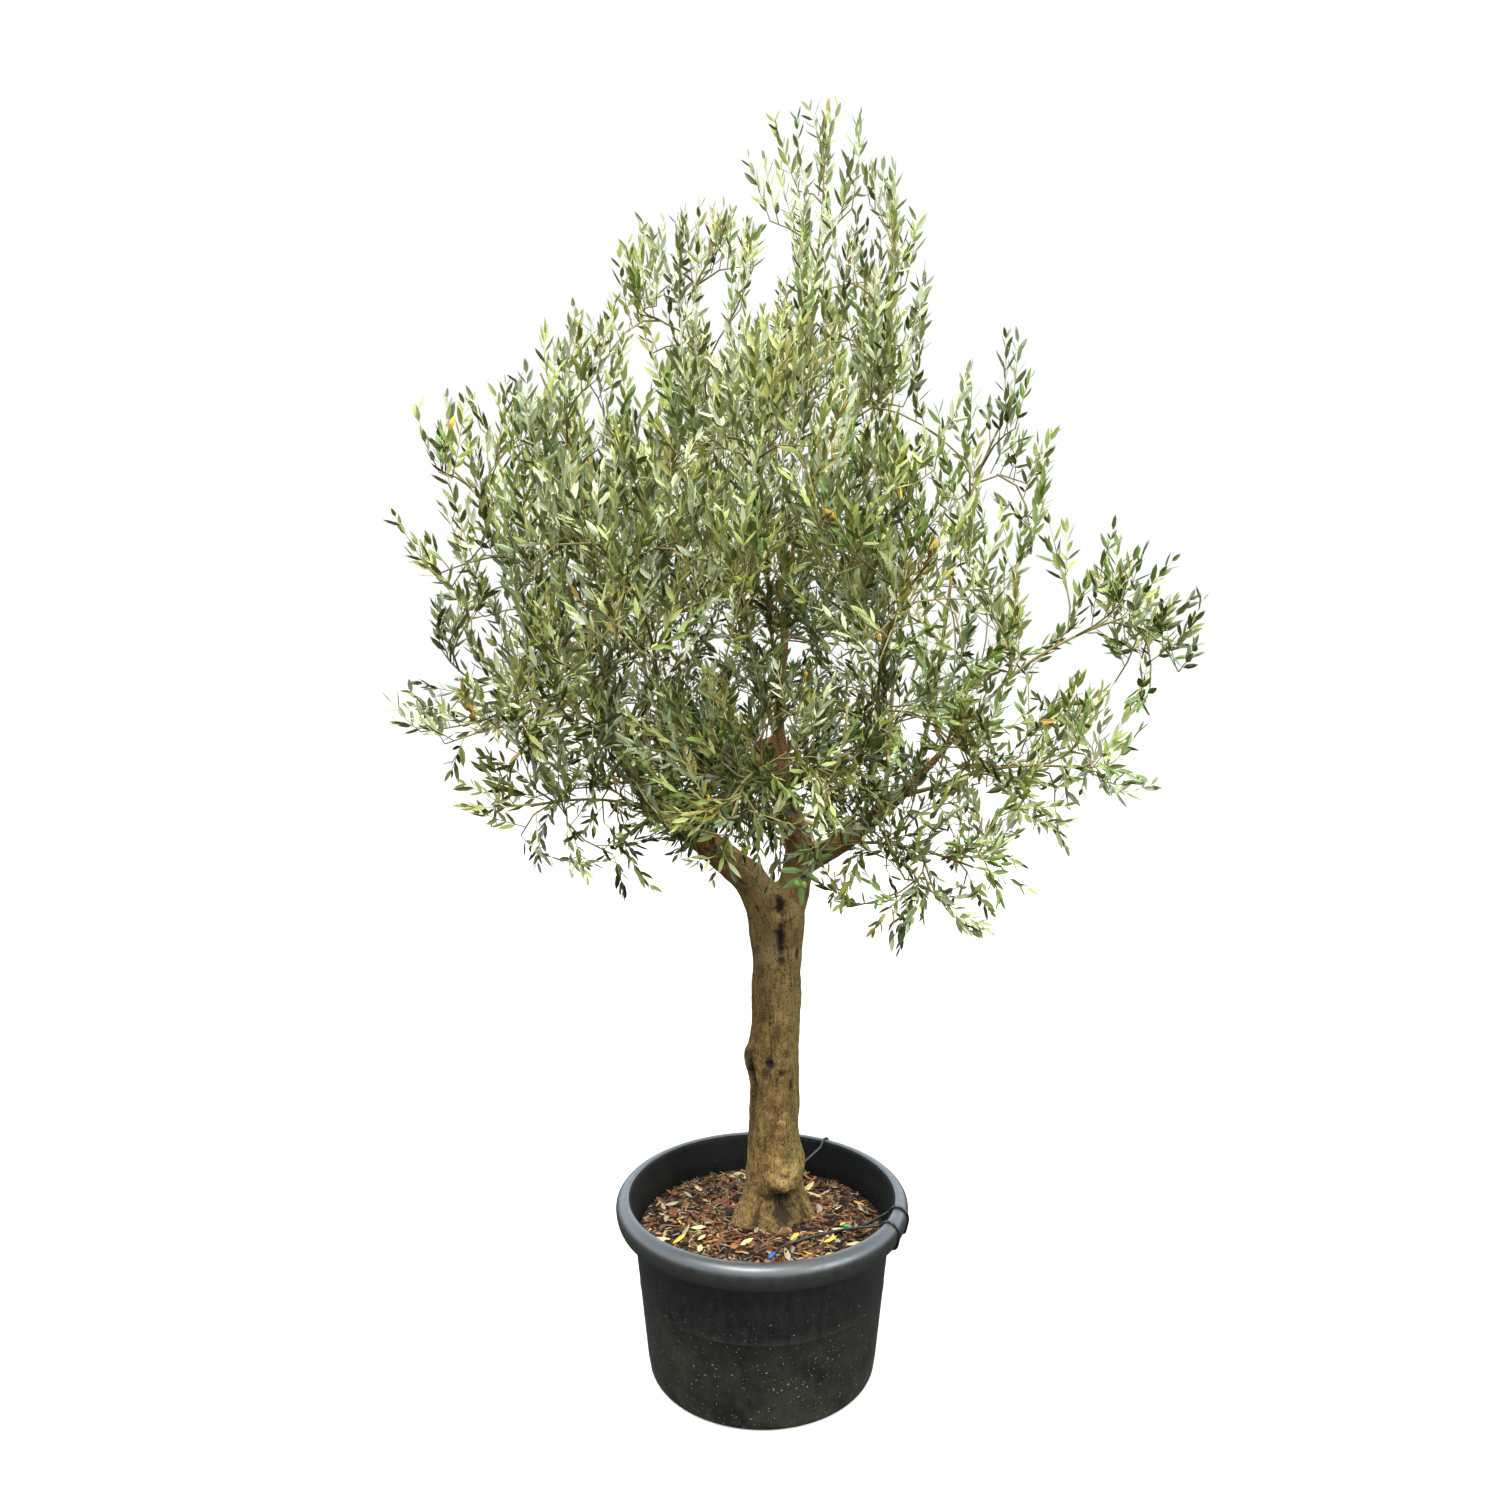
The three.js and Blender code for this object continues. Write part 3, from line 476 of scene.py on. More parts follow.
# The spray in front of the fork, with two olives: where its twig runs, and its leaves' headings, lengths
# and places on the twig, counted back from its tip.
FORK_SPRAY = ((0.100, -0.030, 1.300), (0.106, -0.080, 1.285), (0.096, -0.115, 1.255), (0.082, -0.120, 1.226))
FORK_SPRAY_POINTS = 9
FORK_LEAVES = (
    (-0.15, 1.00, 0.058, 3), (-1.00, 0.10, 0.054, 2), (-0.75, -0.45, 0.044, 1), (0.95, 0.40, 0.060, 3),
    (0.10, -1.00, 0.058, 1), (0.75, -0.50, 0.048, 2), (-0.70, 0.70, 0.046, 4), (0.55, 0.75, 0.046, 5),
)
FORK_LEAF_FORWARD = -0.25
FORK_LEAF_NORMAL = np.array((0, -1, 0.5))
FORK_LEAF_JITTER = 0.35
FORK_LEAF_SCALE = 1.12
OLIVES = ((0.075, -0.137, 1.214), (0.091, -0.139, 1.212))
OLIVE_RADII = np.array((0.0066, 0.0066, 0.0090))
OLIVE_RINGS = 10
OLIVE_SEGMENTS = 14

# Plain finishes: colour, roughness and specular level.
FINISHES = {
    "drip_tube": ((26, 27, 29), 0.28, 0.5),
    "emitter_blue": ((36, 92, 170), 0.4, 0.5),
    "emitter_green": ((44, 132, 84), 0.4, 0.5),
    "twig_young": ((158, 152, 92), 0.7, 0.3),
    "twig_woody": ((120, 112, 70), 0.8, 0.3),
    "twig_fresh": ((150, 150, 84), 0.7, 0.3),
    "leaf_yellow": ((204, 160, 52), 0.6, 0.4),
    "leaf_yellow_below": ((190, 160, 84), 0.7, 0.4),
    "leaf_spray": ((118, 148, 82), 0.42, 0.4),
    "leaf_spray_below": ((150, 166, 122), 0.7, 0.2),
    "olive": ((142, 184, 66), 0.35, 0.5),
}


# Numbers and lines

def unit(vector):
    return vector / np.linalg.norm(vector)


def rows_unit(vectors):
    return vectors / np.maximum(np.linalg.norm(vectors, axis=1), 1e-9)[:, None]


def mix(a, b, share):
    return a + (b - a) * share


def smooth(share):
    share = np.clip(share, 0, 1)
    return share * share * (3 - 2 * share)


def rising(values, start, stretch, most):
    return most * smooth((values - start) / stretch)


def across(vector):
    """A unit vector square to the given one."""
    other = UP if abs(vector[2]) < 0.9 else np.array((1.0, 0, 0))
    return unit(np.cross(vector, other))


def round_turns(sides):
    return np.arange(sides) * FULL_TURN / sides


def steps_of(points):
    return np.linalg.norm(np.diff(points, axis=0), axis=1)


def length_of(points):
    return steps_of(points).sum()


def lengths_along(points):
    return np.concatenate(((0,), np.cumsum(steps_of(points))))


def evenly(points, count):
    """The same line with its points evenly spaced."""
    lengths = lengths_along(points)
    wanted = np.linspace(0, lengths[-1], count)
    return np.stack([np.interp(wanted, lengths, points[:, axis]) for axis in range(3)], axis=1)


def spread_over(values, count):
    """The same run of values at another number of points."""
    return np.interp(np.linspace(0, 1, count), np.linspace(0, 1, len(values)), values)


def catmull_rom(points, count=400):
    """Centripetal curve through the points, as evenly spaced places along it."""
    points = [np.array(point, float) for point in points]
    ends = [2 * points[0] - points[1], *points, 2 * points[-1] - points[-2]]
    u = np.linspace(0, 1, 100, endpoint=False)[:, None]
    places = []
    for p0, p1, p2, p3 in zip(ends, ends[1:], ends[2:], ends[3:]):
        d0, d1, d2 = (math.sqrt(np.linalg.norm(b - a)) for a, b in ((p0, p1), (p1, p2), (p2, p3)))
        t1 = ((p1 - p0) / d0 - (p2 - p0) / (d0 + d1) + (p2 - p1) / d1) * d1
        t2 = ((p2 - p1) / d1 - (p3 - p1) / (d1 + d2) + (p3 - p2) / d2) * d1
        places.append(p1 + t1 * u + (3 * (p2 - p1) - 2 * t1 - t2) * u**2 + (2 * (p1 - p2) + t1 + t2) * u**3)
    places.append(points[-1][None])
    return evenly(np.concatenate(places), count)


def bezier(start, bend, end):
    u = np.linspace(0, 1, CURVE_POINTS)[:, None]
    return start * (1 - u) ** 2 + 2 * bend * u * (1 - u) + end * u**2


def noise_at(points, scale):
    """Smooth noise of about -1 to 1 at each point."""
    return np.array([noise.noise(Vector(point)) for point in points * scale])


def layers(points, heights_and_scales):
    """Noise of several heights and scales on top of each other."""
    return sum(height * noise_at(points, scale) for height, scale in heights_and_scales)


def patches(points, middle, height, scale, most):
    """Noise about a middle value, from 0 to the most."""
    return np.clip(middle + height * noise_at(points, scale), 0, most)


# Meshes and pieces

class Pile:
    """Vertices and triangles gathered for one piece."""

    def __init__(self):
        self.vertices = []
        self.triangles = []
        self.slots = []
        self.grain = []
        self.count = 0

    def add(self, vertices, triangles, slot=0):
        self.vertices.append(vertices)
        self.triangles.append(triangles + self.count)
        self.slots.append(np.broadcast_to(slot, len(triangles)))
        self.count += len(vertices)

    def add_tube(self, points, radii, sides, slot=0):
        vertices, triangles, grain = tube(points, radii, sides)
        self.add(vertices, triangles, slot)
        self.grain.append(grain)

    def mesh(self, name):
        vertices = np.concatenate(self.vertices).astype(np.float32)
        triangles = np.concatenate(self.triangles).astype(np.int32)
        mesh = bpy.data.meshes.new(name)
        mesh.vertices.add(len(vertices))
        mesh.vertices.foreach_set("co", vertices.ravel())
        mesh.loops.add(triangles.size)
        mesh.loops.foreach_set("vertex_index", triangles.ravel())
        mesh.polygons.add(len(triangles))
        mesh.polygons.foreach_set("loop_start", np.arange(0, triangles.size, 3, dtype=np.int32))
        mesh.polygons.foreach_set("material_index", np.concatenate(self.slots).astype(np.int32))
        mesh.update(calc_edges=True)
        return mesh


def store(mesh, name, values):
    """Keeps a number or a vector for each vertex under a name that materials can read."""
    values = np.asarray(values, np.float32)
    kind, field = ("FLOAT", "value") if values.ndim == 1 else ("FLOAT_VECTOR", "vector")
    mesh.attributes.new(name, kind, "POINT").data.foreach_set(field, values.ravel())


def vertex_rows(rows, field):
    """A vector for each vertex, read off a mesh."""
    values = np.empty(len(rows) * 3, np.float32)
    rows.foreach_get(field, values)
    return values.reshape(-1, 3).astype(float)


def link_object(name, data):
    made = bpy.data.objects.new(name, data)
    bpy.context.scene.collection.objects.link(made)
    return made


def add_piece(mesh, materials, nodes, flat=False):
    """Puts a mesh in the scene as a piece that stands for the named solids."""
    piece = link_object(mesh.name, mesh)
    for material in materials:
        mesh.materials.append(material)
    mesh.polygons.foreach_set("use_smooth", np.full(len(mesh.polygons), not flat))
    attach(piece, "root")
    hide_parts(*nodes)


def ring_faces(count, sides):
    """Triangles of a closed body: rings of vertices in a row, then its two end points."""
    first = np.arange(sides)
    following = (first + 1) % sides
    faces = []
    for low in range(0, (count - 1) * sides, sides):
        high = low + sides
        faces.append((low + first, low + following, high + following))
        faces.append((low + first, high + following, high + first))
    foot = count * sides
    last = foot - sides
    faces.append((np.full(sides, foot), following, first))
    faces.append((np.full(sides, foot + 1), last + first, last + following))
    return np.concatenate([np.stack(corners, axis=1) for corners in faces])


def tube(points, radii, sides):
    """Vertices, triangles and grain of a round limb along a line of points."""
    radii = np.broadcast_to(radii, len(points))
    tangents = rows_unit(np.gradient(points, axis=0))
    turns = round_turns(sides)
    side = across(tangents[0])
    rings = []
    for point, tangent, radius in zip(points, tangents, radii):
        side = unit(side - tangent * (side @ tangent))
        other = np.cross(tangent, side)
        rings.append(point + radius * (np.outer(np.cos(turns), side) + np.outer(np.sin(turns), other)))
    ends = points[[0, -1]]
    offsets = np.concatenate(rings) - np.repeat(points, sides, axis=0)
    along = lengths_along(points)
    grain = offsets + np.outer(np.repeat(along, sides), GRAIN_LINE)
    grain = np.concatenate((grain, np.outer(along[[0, -1]], GRAIN_LINE)))
    return np.concatenate(rings + [ends]), ring_faces(len(points), sides), grain


def lathe(profile, segments):
    """A closed body turned round Z from a profile that starts and ends on the axis."""
    turns = round_turns(segments)
    radii, heights = np.array(profile[1:-1]).T
    wide = np.outer(radii, np.cos(turns))
    deep = np.outer(radii, np.sin(turns))
    high = np.repeat(heights[:, None], segments, axis=1)
    ends = [(0, 0, profile[0][1]), (0, 0, profile[-1][1])]
    vertices = np.concatenate((np.stack((wide, deep, high), axis=2).reshape(-1, 3), ends))
    return vertices, ring_faces(len(radii), segments)


# Materials

def colour(value):
    """Linear colour from display values of 0 to 255, or from one grey level; four values stay as they are."""
    if np.isscalar(value):
        return (value, value, value, 1.0)
    if len(value) == 4:
        return value
    values = np.array(value) / 255
    linear = np.where(values <= 0.04045, values / 12.92, ((values + 0.055) / 1.055) ** 2.4)
    return (*linear.tolist(), 1.0)


class Nodes:
    """Adds nodes to a node tree."""

    def __init__(self, tree):
        self.nodes = tree.nodes
        self.links = tree.links

    def feed(self, socket, value):
        """Links an output to an input, or sets the input."""
        if isinstance(value, bpy.types.NodeSocket):
            self.links.new(value, socket)
        else:
            socket.default_value = colour(value) if socket.type == "RGBA" else value

    def fill(self, node, inputs):
        for label, value in inputs.items():
            self.feed(node.inputs[label], value)

    def node(self, kind, inputs, **settings):
        made = self.nodes.new(kind)
        for key, value in settings.items():
            setattr(made, key, value)
        self.fill(made, inputs)
        return made

    def ramp(self, source, *stops):
        ramp = self.node("ShaderNodeValToRGB", {"Fac": source})
        elements = ramp.color_ramp.elements
        while len(elements) < len(stops):
            elements.new(0.5)
        for element, (place, value) in zip(elements, stops):
            element.position = place
            element.color = colour(value)
        return ramp.outputs["Color"]


def principled(name, base, roughness, specular=0.4):
    material = bpy.data.materials.new(name)
    material.use_nodes = True
    look = {"Base Color": base, "Roughness": roughness, "Specular IOR Level": specular}
    Nodes(material.node_tree).fill(material.node_tree.nodes["Principled BSDF"], look)
    return material


@cache
def plain(name):
    """The plain finish of that name, made when it is first asked for."""
    return principled(name, *FINISHES[name])


class Pattern(Nodes):
    """A material whose colour is built up in coats."""

    def __init__(self, name, base, roughness, specular):
        self.material = principled(name, base, roughness, specular)
        super().__init__(self.material.node_tree)
        self.shader = self.nodes["Principled BSDF"]
        self.base = base

    def place(self):
        return self.node("ShaderNodeTexCoord", {}).outputs["Object"]

    def attribute(self, name, output="Fac"):
        return self.node("ShaderNodeAttribute", {}, attribute_name=name).outputs[output]

    def noise(self, source, scale, detail=5, roughness=0.55, stretch=None):
        if stretch:
            mapping = self.node("ShaderNodeMapping", {"Vector": source, "Scale": (1, 1, stretch)})
            source = mapping.outputs["Vector"]
        inputs = {"Vector": source, "Scale": scale, "Detail": detail, "Roughness": roughness}
        return self.node("ShaderNodeTexNoise", inputs).outputs["Fac"]

    def blend(self, share, first, second, kind="MIX"):
        node = self.node("ShaderNodeMix", {}, data_type="RGBA", blend_type=kind)
        sockets = [socket for socket in node.inputs if socket.enabled]
        for socket, value in zip(sockets, (share, first, second)):
            self.feed(socket, value)
        return next(socket for socket in node.outputs if socket.enabled)

    def coat(self, share, tint):
        self.base = self.blend(share, self.base, tint)

    def finish(self, bumps, strength, distance):
        """Links the coats and the bumps, and hands over the material."""
        bump = self.node("ShaderNodeBump", {"Height": bumps, "Strength": strength, "Distance": distance})
        self.fill(self.shader, {"Base Color": self.base, "Normal": bump.outputs["Normal"]})
        return self.material


def bark_material():
    paint = Pattern("bark", (140, 112, 80), 0.85, 0.25)
    place = paint.place()
    streaks = paint.noise(paint.attribute("grain", "Vector"), 150, 6, 0.65)
    mottle = paint.noise(place, 55, 8, 0.68, stretch=0.55)
    grit = paint.noise(place, 270, 4, 0.7, stretch=0.6)
    wrinkles = paint.noise(place, 130, 6, 0.6, stretch=2.6)
    dark, brown, buff, light = (44, 32, 14), (107, 85, 45), (140, 113, 65), (184, 156, 102)
    paint.base = paint.ramp(mottle, (0.31, dark), (0.43, brown), (0.56, buff), (0.69, light))
    paint.coat(paint.attribute("pale"), (172, 149, 102))
    paint.coat(paint.ramp(paint.noise(place, 13, 4), (0.42, 0), (0.66, 0.55)), (112, 86, 48))
    # Pale coat: painted sunlight under the fork, and paler bark at the foot and the knob.
    paint.coat(paint.attribute("moss"), (98, 95, 48))
    # Reddish bark above the fork, darker as painted shade of the crown.
    paint.coat(paint.attribute("red_and_shade"), (98, 65, 36))
    paint.coat(paint.ramp(streaks, (0.37, 0.90), (0.47, 0)), (56, 42, 23))
    paint.coat(paint.ramp(grit, (0.34, 0.7), (0.46, 0)), (62, 46, 26))
    paint.coat(paint.ramp(grit, (0.54, 0), (0.68, 0.62)), (182, 158, 110))
    # Painted shade in the marks' hollows with dark bark streaks, and the stub's dark cut.
    paint.coat(paint.attribute("dark"), (26, 18, 12))
    return paint.finish(paint.blend(0.5, wrinkles, streaks), 0.75, 0.005)


def young_bark_material():
    """Smooth olive-brown bark of the thinner boughs."""
    paint = Pattern("young_bark", (112, 101, 56), 0.8, 0.25)
    flecks = paint.noise(paint.attribute("grain", "Vector"), 260, 5, 0.6)
    paint.base = paint.ramp(flecks, (0.32, (74, 64, 34)), (0.5, (110, 99, 54)), (0.68, (144, 133, 84)))
    return paint.finish(flecks, 0.4, 0.002)


def pot_material(name, specular, smoothest, roughest, rim_dust_and_sheen):
    """Scuffed black plastic, paler above the lip with dust and a painted sheen, with dust low down and a few
    pale specks.
    """
    paint = Pattern(name, (26, 27, 25), smoothest, specular)
    place = paint.place()
    height = paint.node("ShaderNodeSeparateXYZ", {"Vector": place}).outputs["Z"]
    scuffs = paint.noise(place, 60, 6, 0.7, stretch=0.35)
    paint.base = paint.ramp(scuffs, (0.35, (6, 7, 5)), (0.62, (17, 18, 13)))
    # Above the lip the rim is paler: dust, with a painted sheen of the light from above.
    paint.coat(paint.ramp(height, (LIP - 0.002, 0), (LIP, rim_dust_and_sheen)), (92, 94, 92))
    low = paint.ramp(height, (0.0, 0.55), (0.06, 0.25), (0.21, 0.13), (0.24, 0.03))
    drifts = paint.ramp(paint.noise(place, 9, 6, 0.65), (0.40, 0), (0.70, 1))
    paint.coat(paint.blend(1.0, low, drifts, "MULTIPLY"), (104, 101, 80))
    specks = paint.ramp(paint.noise(place, 210, 2, 0.5), (0.700, 0), (0.725, 0.9))
    few = paint.ramp(height, (0.20, 1), (0.34, 0.1))
    paint.coat(paint.blend(1.0, specks, few, "MULTIPLY"), (190, 188, 178))
    paint.fill(paint.shader, {"Roughness": paint.ramp(scuffs, (0.3, smoothest), (0.7, roughest))})
    return paint.finish(scuffs, 0.12, 0.001)


def mulch_material():
    paint = Pattern("mulch", (70, 48, 34), 0.95, 0.2)
    place = paint.place()
    crumbs = paint.noise(place, 130, 6, 0.7)
    paint.base = paint.ramp(crumbs, (0.34, (14, 11, 9)), (0.5, (48, 36, 26)), (0.68, (104, 80, 56)))
    paint.coat(paint.ramp(paint.noise(place, 14, 3), (0.42, 0), (0.6, 0.8)), (24, 19, 15))
    return paint.finish(crumbs, 0.8, 0.006)


# Pot

def arc(centre_r, centre_z, radius, start, end, steps):
    angles = np.radians(np.linspace(start, end, steps))
    return [(centre_r + radius * math.cos(a), centre_z + radius * math.sin(a)) for a in angles]


def body_radius(height):
    return mix(POT_BASE_RADIUS, POT_TOP_RADIUS, height / LIP)


def inner_radius(height):
    share = (height - POT_FLOOR) / (LIP - POT_FLOOR)
    return mix(POT_BASE_RADIUS - POT_WALL, POT_TOP_RADIUS - POT_WALL, share)


def pot_profile():
    """Radius and height from the underside's middle round the rim to the floor's middle."""
    roll = POT_HEIGHT - RIM_ROUND
    below_seam = np.linspace(BODY_FROM, SEAM - 2 * SEAM_HALF, 6)
    above_seam = np.linspace(SEAM + 2 * SEAM_HALF, LIP - LIP_ROUND, 10)
    skirt = np.linspace(0.25, 0.9, 6)
    inside = np.linspace(LIP, POT_FLOOR + FLOOR_CORNER, 12)
    profile = [(0.0, 0.0), (POT_BASE_RADIUS * 0.5, 0.0)]
    profile += arc(POT_BASE_RADIUS - POT_BASE_ROUND, POT_BASE_ROUND, POT_BASE_ROUND, -90, 0, 7)
    profile += [(body_radius(z), z) for z in below_seam]
    profile += [(body_radius(SEAM) + SEAM_RIDGE, z) for z in (SEAM - SEAM_HALF, SEAM + SEAM_HALF)]
    profile += [(body_radius(z), z) for z in above_seam]
    profile.append((body_radius(LIP) + HOLLOW_INNER[0], LIP + HOLLOW_INNER[1]))
    profile.append((LIP_RADIUS - HOLLOW_OUTER[0], LIP + HOLLOW_OUTER[1]))
    profile += arc(LIP_RADIUS - LIP_ROUND, LIP + LIP_ROUND, LIP_ROUND, -120, 0, 6)
    profile += [(mix(LIP_RADIUS, RIM_RADIUS, math.sin(u * math.pi / 2)), mix(LIP, roll, u)) for u in skirt]
    profile += arc(CREST_RADIUS, roll, RIM_ROUND, 0, 90, 14)
    profile += arc(CREST_RADIUS, POT_HEIGHT - RIM_INNER_ROUND, RIM_INNER_ROUND, 100, 180, 8)
    profile += [(inner_radius(z), z) for z in inside]
    profile += [(POT_BASE_RADIUS - POT_WALL - FLOOR_CORNER, POT_FLOOR), (0.0, POT_FLOOR)]
    return profile


def make_pot():
    vertices, triangles = lathe(pot_profile(), POT_SEGMENTS)
    heights = vertices[:, 2]
    turns = np.arctan2(vertices[:, 1], vertices[:, 0])
    radii = np.hypot(vertices[:, 0], vertices[:, 1])
    warp = POT_WARP * np.sin(2 * turns + WARP_TURN) * smooth(heights / POT_HEIGHT)
    vertices[:, :2] *= (1 + warp / np.maximum(radii, 0.05))[:, None]
    below_crest = CREST_RADIUS - RIM_INNER_ROUND / 2
    wall = np.where(heights < LIP, body_radius(heights) - POT_WALL / 2, below_crest)
    inside = (radii < wall) & (heights > POT_BASE_ROUND)
    pile = Pile()
    pile.add(vertices, triangles, inside[triangles].all(axis=1))
    outer = pot_material("pot_plastic", specular=0.9, smoothest=0.33, roughest=0.50, rim_dust_and_sheen=0.15)
    inner = pot_material("pot_inside", specular=0.13, smoothest=0.62, roughest=0.74, rim_dust_and_sheen=0.02)
    add_piece(pile.mesh("pot_shell"), [outer, inner], ["pot"])


# Mulch with chips and fallen leaves

def mulch_height(radius):
    middle = mix(MULCH_EDGE, GROUND, MULCH_HOLLOW)
    half = (MOUND_RADIUS + MULCH_RADIUS) / 2
    return np.interp(radius, (MOUND_RADIUS, half, MULCH_RADIUS), (GROUND, middle, MULCH_EDGE))


def make_mulch():
    radii = np.linspace(MULCH_INNERMOST, MULCH_RADIUS, MULCH_RINGS)
    profile = [(0.0, MULCH_BOTTOM), (MULCH_RADIUS, MULCH_BOTTOM)]
    profile += [(r, float(mulch_height(r))) for r in radii[::-1]] + [(0.0, GROUND)]
    vertices, triangles = lathe(profile, MULCH_SEGMENTS)
    top = vertices[:, 2] > MULCH_BOTTOM
    vertices[top, 2] += (layers(vertices, MULCH_LUMPS) - MULCH_SETTLED)[top]
    pile = Pile()
    pile.add(vertices, triangles)
    add_piece(pile.mesh("mulch_bed"), [mulch_material()], ["soil"])


def scatter_on_mulch(count):
    """Places on the mulch, clear of the trunk's foot and of the pot's wall."""
    radii = np.sqrt(random.uniform(0, (MULCH_RADIUS - CHIP_ROOM) ** 2, count))
    turns = random.uniform(0, FULL_TURN, count)
    places = np.stack((radii * np.cos(turns), radii * np.sin(turns), mulch_height(radii)), axis=1)
    foot_x, foot_y = trunk_axis(GROUND)
    aside = places[:, 0] - foot_x
    behind = (places[:, 1] - foot_y) / TRUNK_DEPTH_SHARE
    clear = np.hypot(aside, behind) > trunk_radius(np.arctan2(behind, aside), GROUND)
    return places[clear]


def chip(place, slim):
    """Corners of one splinter with a square section, thickest near its middle."""
    lengths, widths = SLIM_CHIP if slim else FLAT_CHIP
    length = random.uniform(*lengths)
    width = random.uniform(*widths)
    turn = random.uniform(0, FULL_TURN)
    heading = unit(np.array((math.cos(turn), math.sin(turn), random.normal(0, CHIP_TILT))))
    side = unit(np.cross(UP + random.normal(0, CHIP_ROLL, 3), heading))
    normal = np.cross(heading, side)
    centre = place + UP * random.uniform(*CHIP_DEPTHS)
    bow = random.uniform(*CHIP_BOWS) * length
    middles = centre + np.outer(CHIP_STATIONS * length, heading) + np.outer((0, bow, 0), side)
    up = normal * min(CHIP_THICKNESS, width * CHIP_SLIMNESS)
    corners = []
    for middle, half in zip(middles, width / 2 * CHIP_HALVES):
        corners += [middle + side * half, middle + up, middle - side * half, middle - up]
    return np.array(corners)


def make_chips():
    for name, (tint, share, slim_share) in CHIPS.items():
        pile = Pile()
        for place in scatter_on_mulch(int(CHIP_COUNT * share)):
            pile.add(chip(place, random.random() < slim_share), CHIP_FACES)
        add_piece(pile.mesh(name), [principled(name, tint, *CHIP_FINISH)], ["soil"], flat=True)


def make_fallen_leaves():
    places = scatter_on_mulch(FALLEN_LEAVES)
    count = len(places)
    turns = random.uniform(0, FULL_TURN, count)
    headings = rows_unit(np.stack((np.cos(turns), np.sin(turns), random.normal(*FALLEN_TILT, count)), axis=1))
    normals = rows_unit(UP + random.normal(0, FALLEN_ROLL, (count, 3)))
    sizes = LEAF_LENGTH * random.uniform(*FALLEN_SIZES, count)
    vertices, triangles, _ = leaf_blades(places + UP * FALLEN_LIFT, headings, normals, sizes)
    kinds = random.choice(len(FALLEN), count, p=[share for _, share in FALLEN.values()])
    pile = Pile()
    pile.add(vertices, triangles, np.repeat(kinds, len(LEAF_FACES)))
    materials = [principled(name, tint, FALLEN_ROUGHNESS) for name, (tint, _) in FALLEN.items()]
    add_piece(pile.mesh("fallen_leaves"), materials, ["soil"], flat=True)


# Drip lines

def drip_points(emitter, resting, rim_degrees):
    """The line's route: over the mulch, over the rolled rim and in under its lip."""
    clear = DRIP_RADIUS + DRIP_OVER_RIM
    lift = DRIP_RADIUS + DRIP_ON_MULCH
    turn = math.radians(rim_degrees)
    points = [(x, y, float(mulch_height(math.hypot(x, y))) + lift) for x, y in (emitter, *resting)]
    over = arc(CREST_RADIUS, POT_HEIGHT - RIM_INNER_ROUND, RIM_INNER_ROUND + clear, 180, 90, 4)
    over += arc(CREST_RADIUS, POT_HEIGHT - RIM_ROUND, RIM_ROUND + clear, 65, 0, 4)
    over += arc(LIP_RADIUS, LIP, clear, 0, -90, 4)
    over += [(LIP_RADIUS - POT_WALL, LIP - clear)]
    points += [(r * math.cos(turn), r * math.sin(turn), z) for r, z in over]
    route = evenly(np.array(points), DRIP_RINGS)
    for _ in range(DRIP_SOFTENING):
        route[1:-1] = (route[:-2] + 2 * route[1:-1] + route[2:]) / 4
    return route


def make_drip_lines():
    for name, (cap, emitter, resting, rim_degrees) in DRIP_LINES.items():
        points = drip_points(emitter, resting, rim_degrees)
        heading = unit(points[1] - points[0])
        collar = evenly(points[0] + np.outer(EMITTER_ENDS, heading), len(EMITTER_SHAPE))
        pile = Pile()
        pile.add_tube(points, DRIP_RADIUS, DRIP_SIDES)
        pile.add_tube(collar, EMITTER_SHAPE * DRIP_RADIUS, DRIP_SIDES, slot=1)
        add_piece(pile.mesh(name + "_tube"), [plain("drip_tube"), plain(cap)], [name])


# Trunk and limbs

def trunk_axis(height):
    share = smooth((height - GROUND) / (TRUNK_TOP - GROUND))
    return mix(TRUNK_FOOT[0], TRUNK_FORK[0], share), mix(TRUNK_FOOT[1], TRUNK_FORK[1], share)


def mark_spread(turn, height, degrees, mark_height, half_width, half_length):
    """How far out of a mark on the trunk a place is: 0 at its middle, 1 at its edge."""
    aside = (turn - math.radians(degrees) + math.pi) % FULL_TURN - math.pi
    return (aside * TRUNK_WAIST / half_width) ** 2 + ((height - mark_height) / half_length) ** 2


def trunk_radius(turn, height):
    flare = math.exp(-(height - GROUND) / FLARE_HEIGHT)
    lobes = 1 + LOBE_DEPTH * flare * np.cos(ROOT_LOBES * turn + LOBE_TURN)
    radius = (TRUNK_WAIST + ROOT_FLARE * flare) * lobes
    radius = radius + rising(height, FORK_START, TRUNK_TOP - FORK_START, FORK_SWELL)
    for degrees, burl_height, size, bulge in BURLS + LUMPS:
        radius = radius + bulge * np.exp(-mark_spread(turn, height, degrees, burl_height, size, size))
    dome = np.clip((height - DOME_START) / (TRUNK_TOP - DOME_START), 0, 1)
    return radius * math.sqrt(1 - DOME_DEPTH * dome**2)


def trunk_loft():
    turns = round_turns(TRUNK_SIDES)
    heights = np.linspace(GROUND - TRUNK_BELOW_GROUND, TRUNK_TOP, TRUNK_RINGS)
    rings = []
    for height in heights:
        x, y = trunk_axis(height)
        radius = trunk_radius(turns, height)
        wide = x + radius * np.cos(turns)
        deep = y + TRUNK_DEPTH_SHARE * radius * np.sin(turns)
        rings.append(np.stack((wide, deep, np.full(TRUNK_SIDES, height)), axis=1))
    ends = [(*trunk_axis(height), height) for height in (heights[0], TRUNK_TOP)]
    return np.concatenate(rings + [np.array(ends)]), ring_faces(TRUNK_RINGS, TRUNK_SIDES)


def limb_radii(base, count):
    share = np.linspace(0, 1, count)
    return mix(base, LIMB_TIP, share**LIMB_TAPER) * (1 + LIMB_COLLAR * np.exp(-COLLAR_FADE * share))


def thinning(count, start, end, thin):
    share = np.linspace(0, 1, count)
    return mix(1, thin, smooth((share - start) / (end - start)))


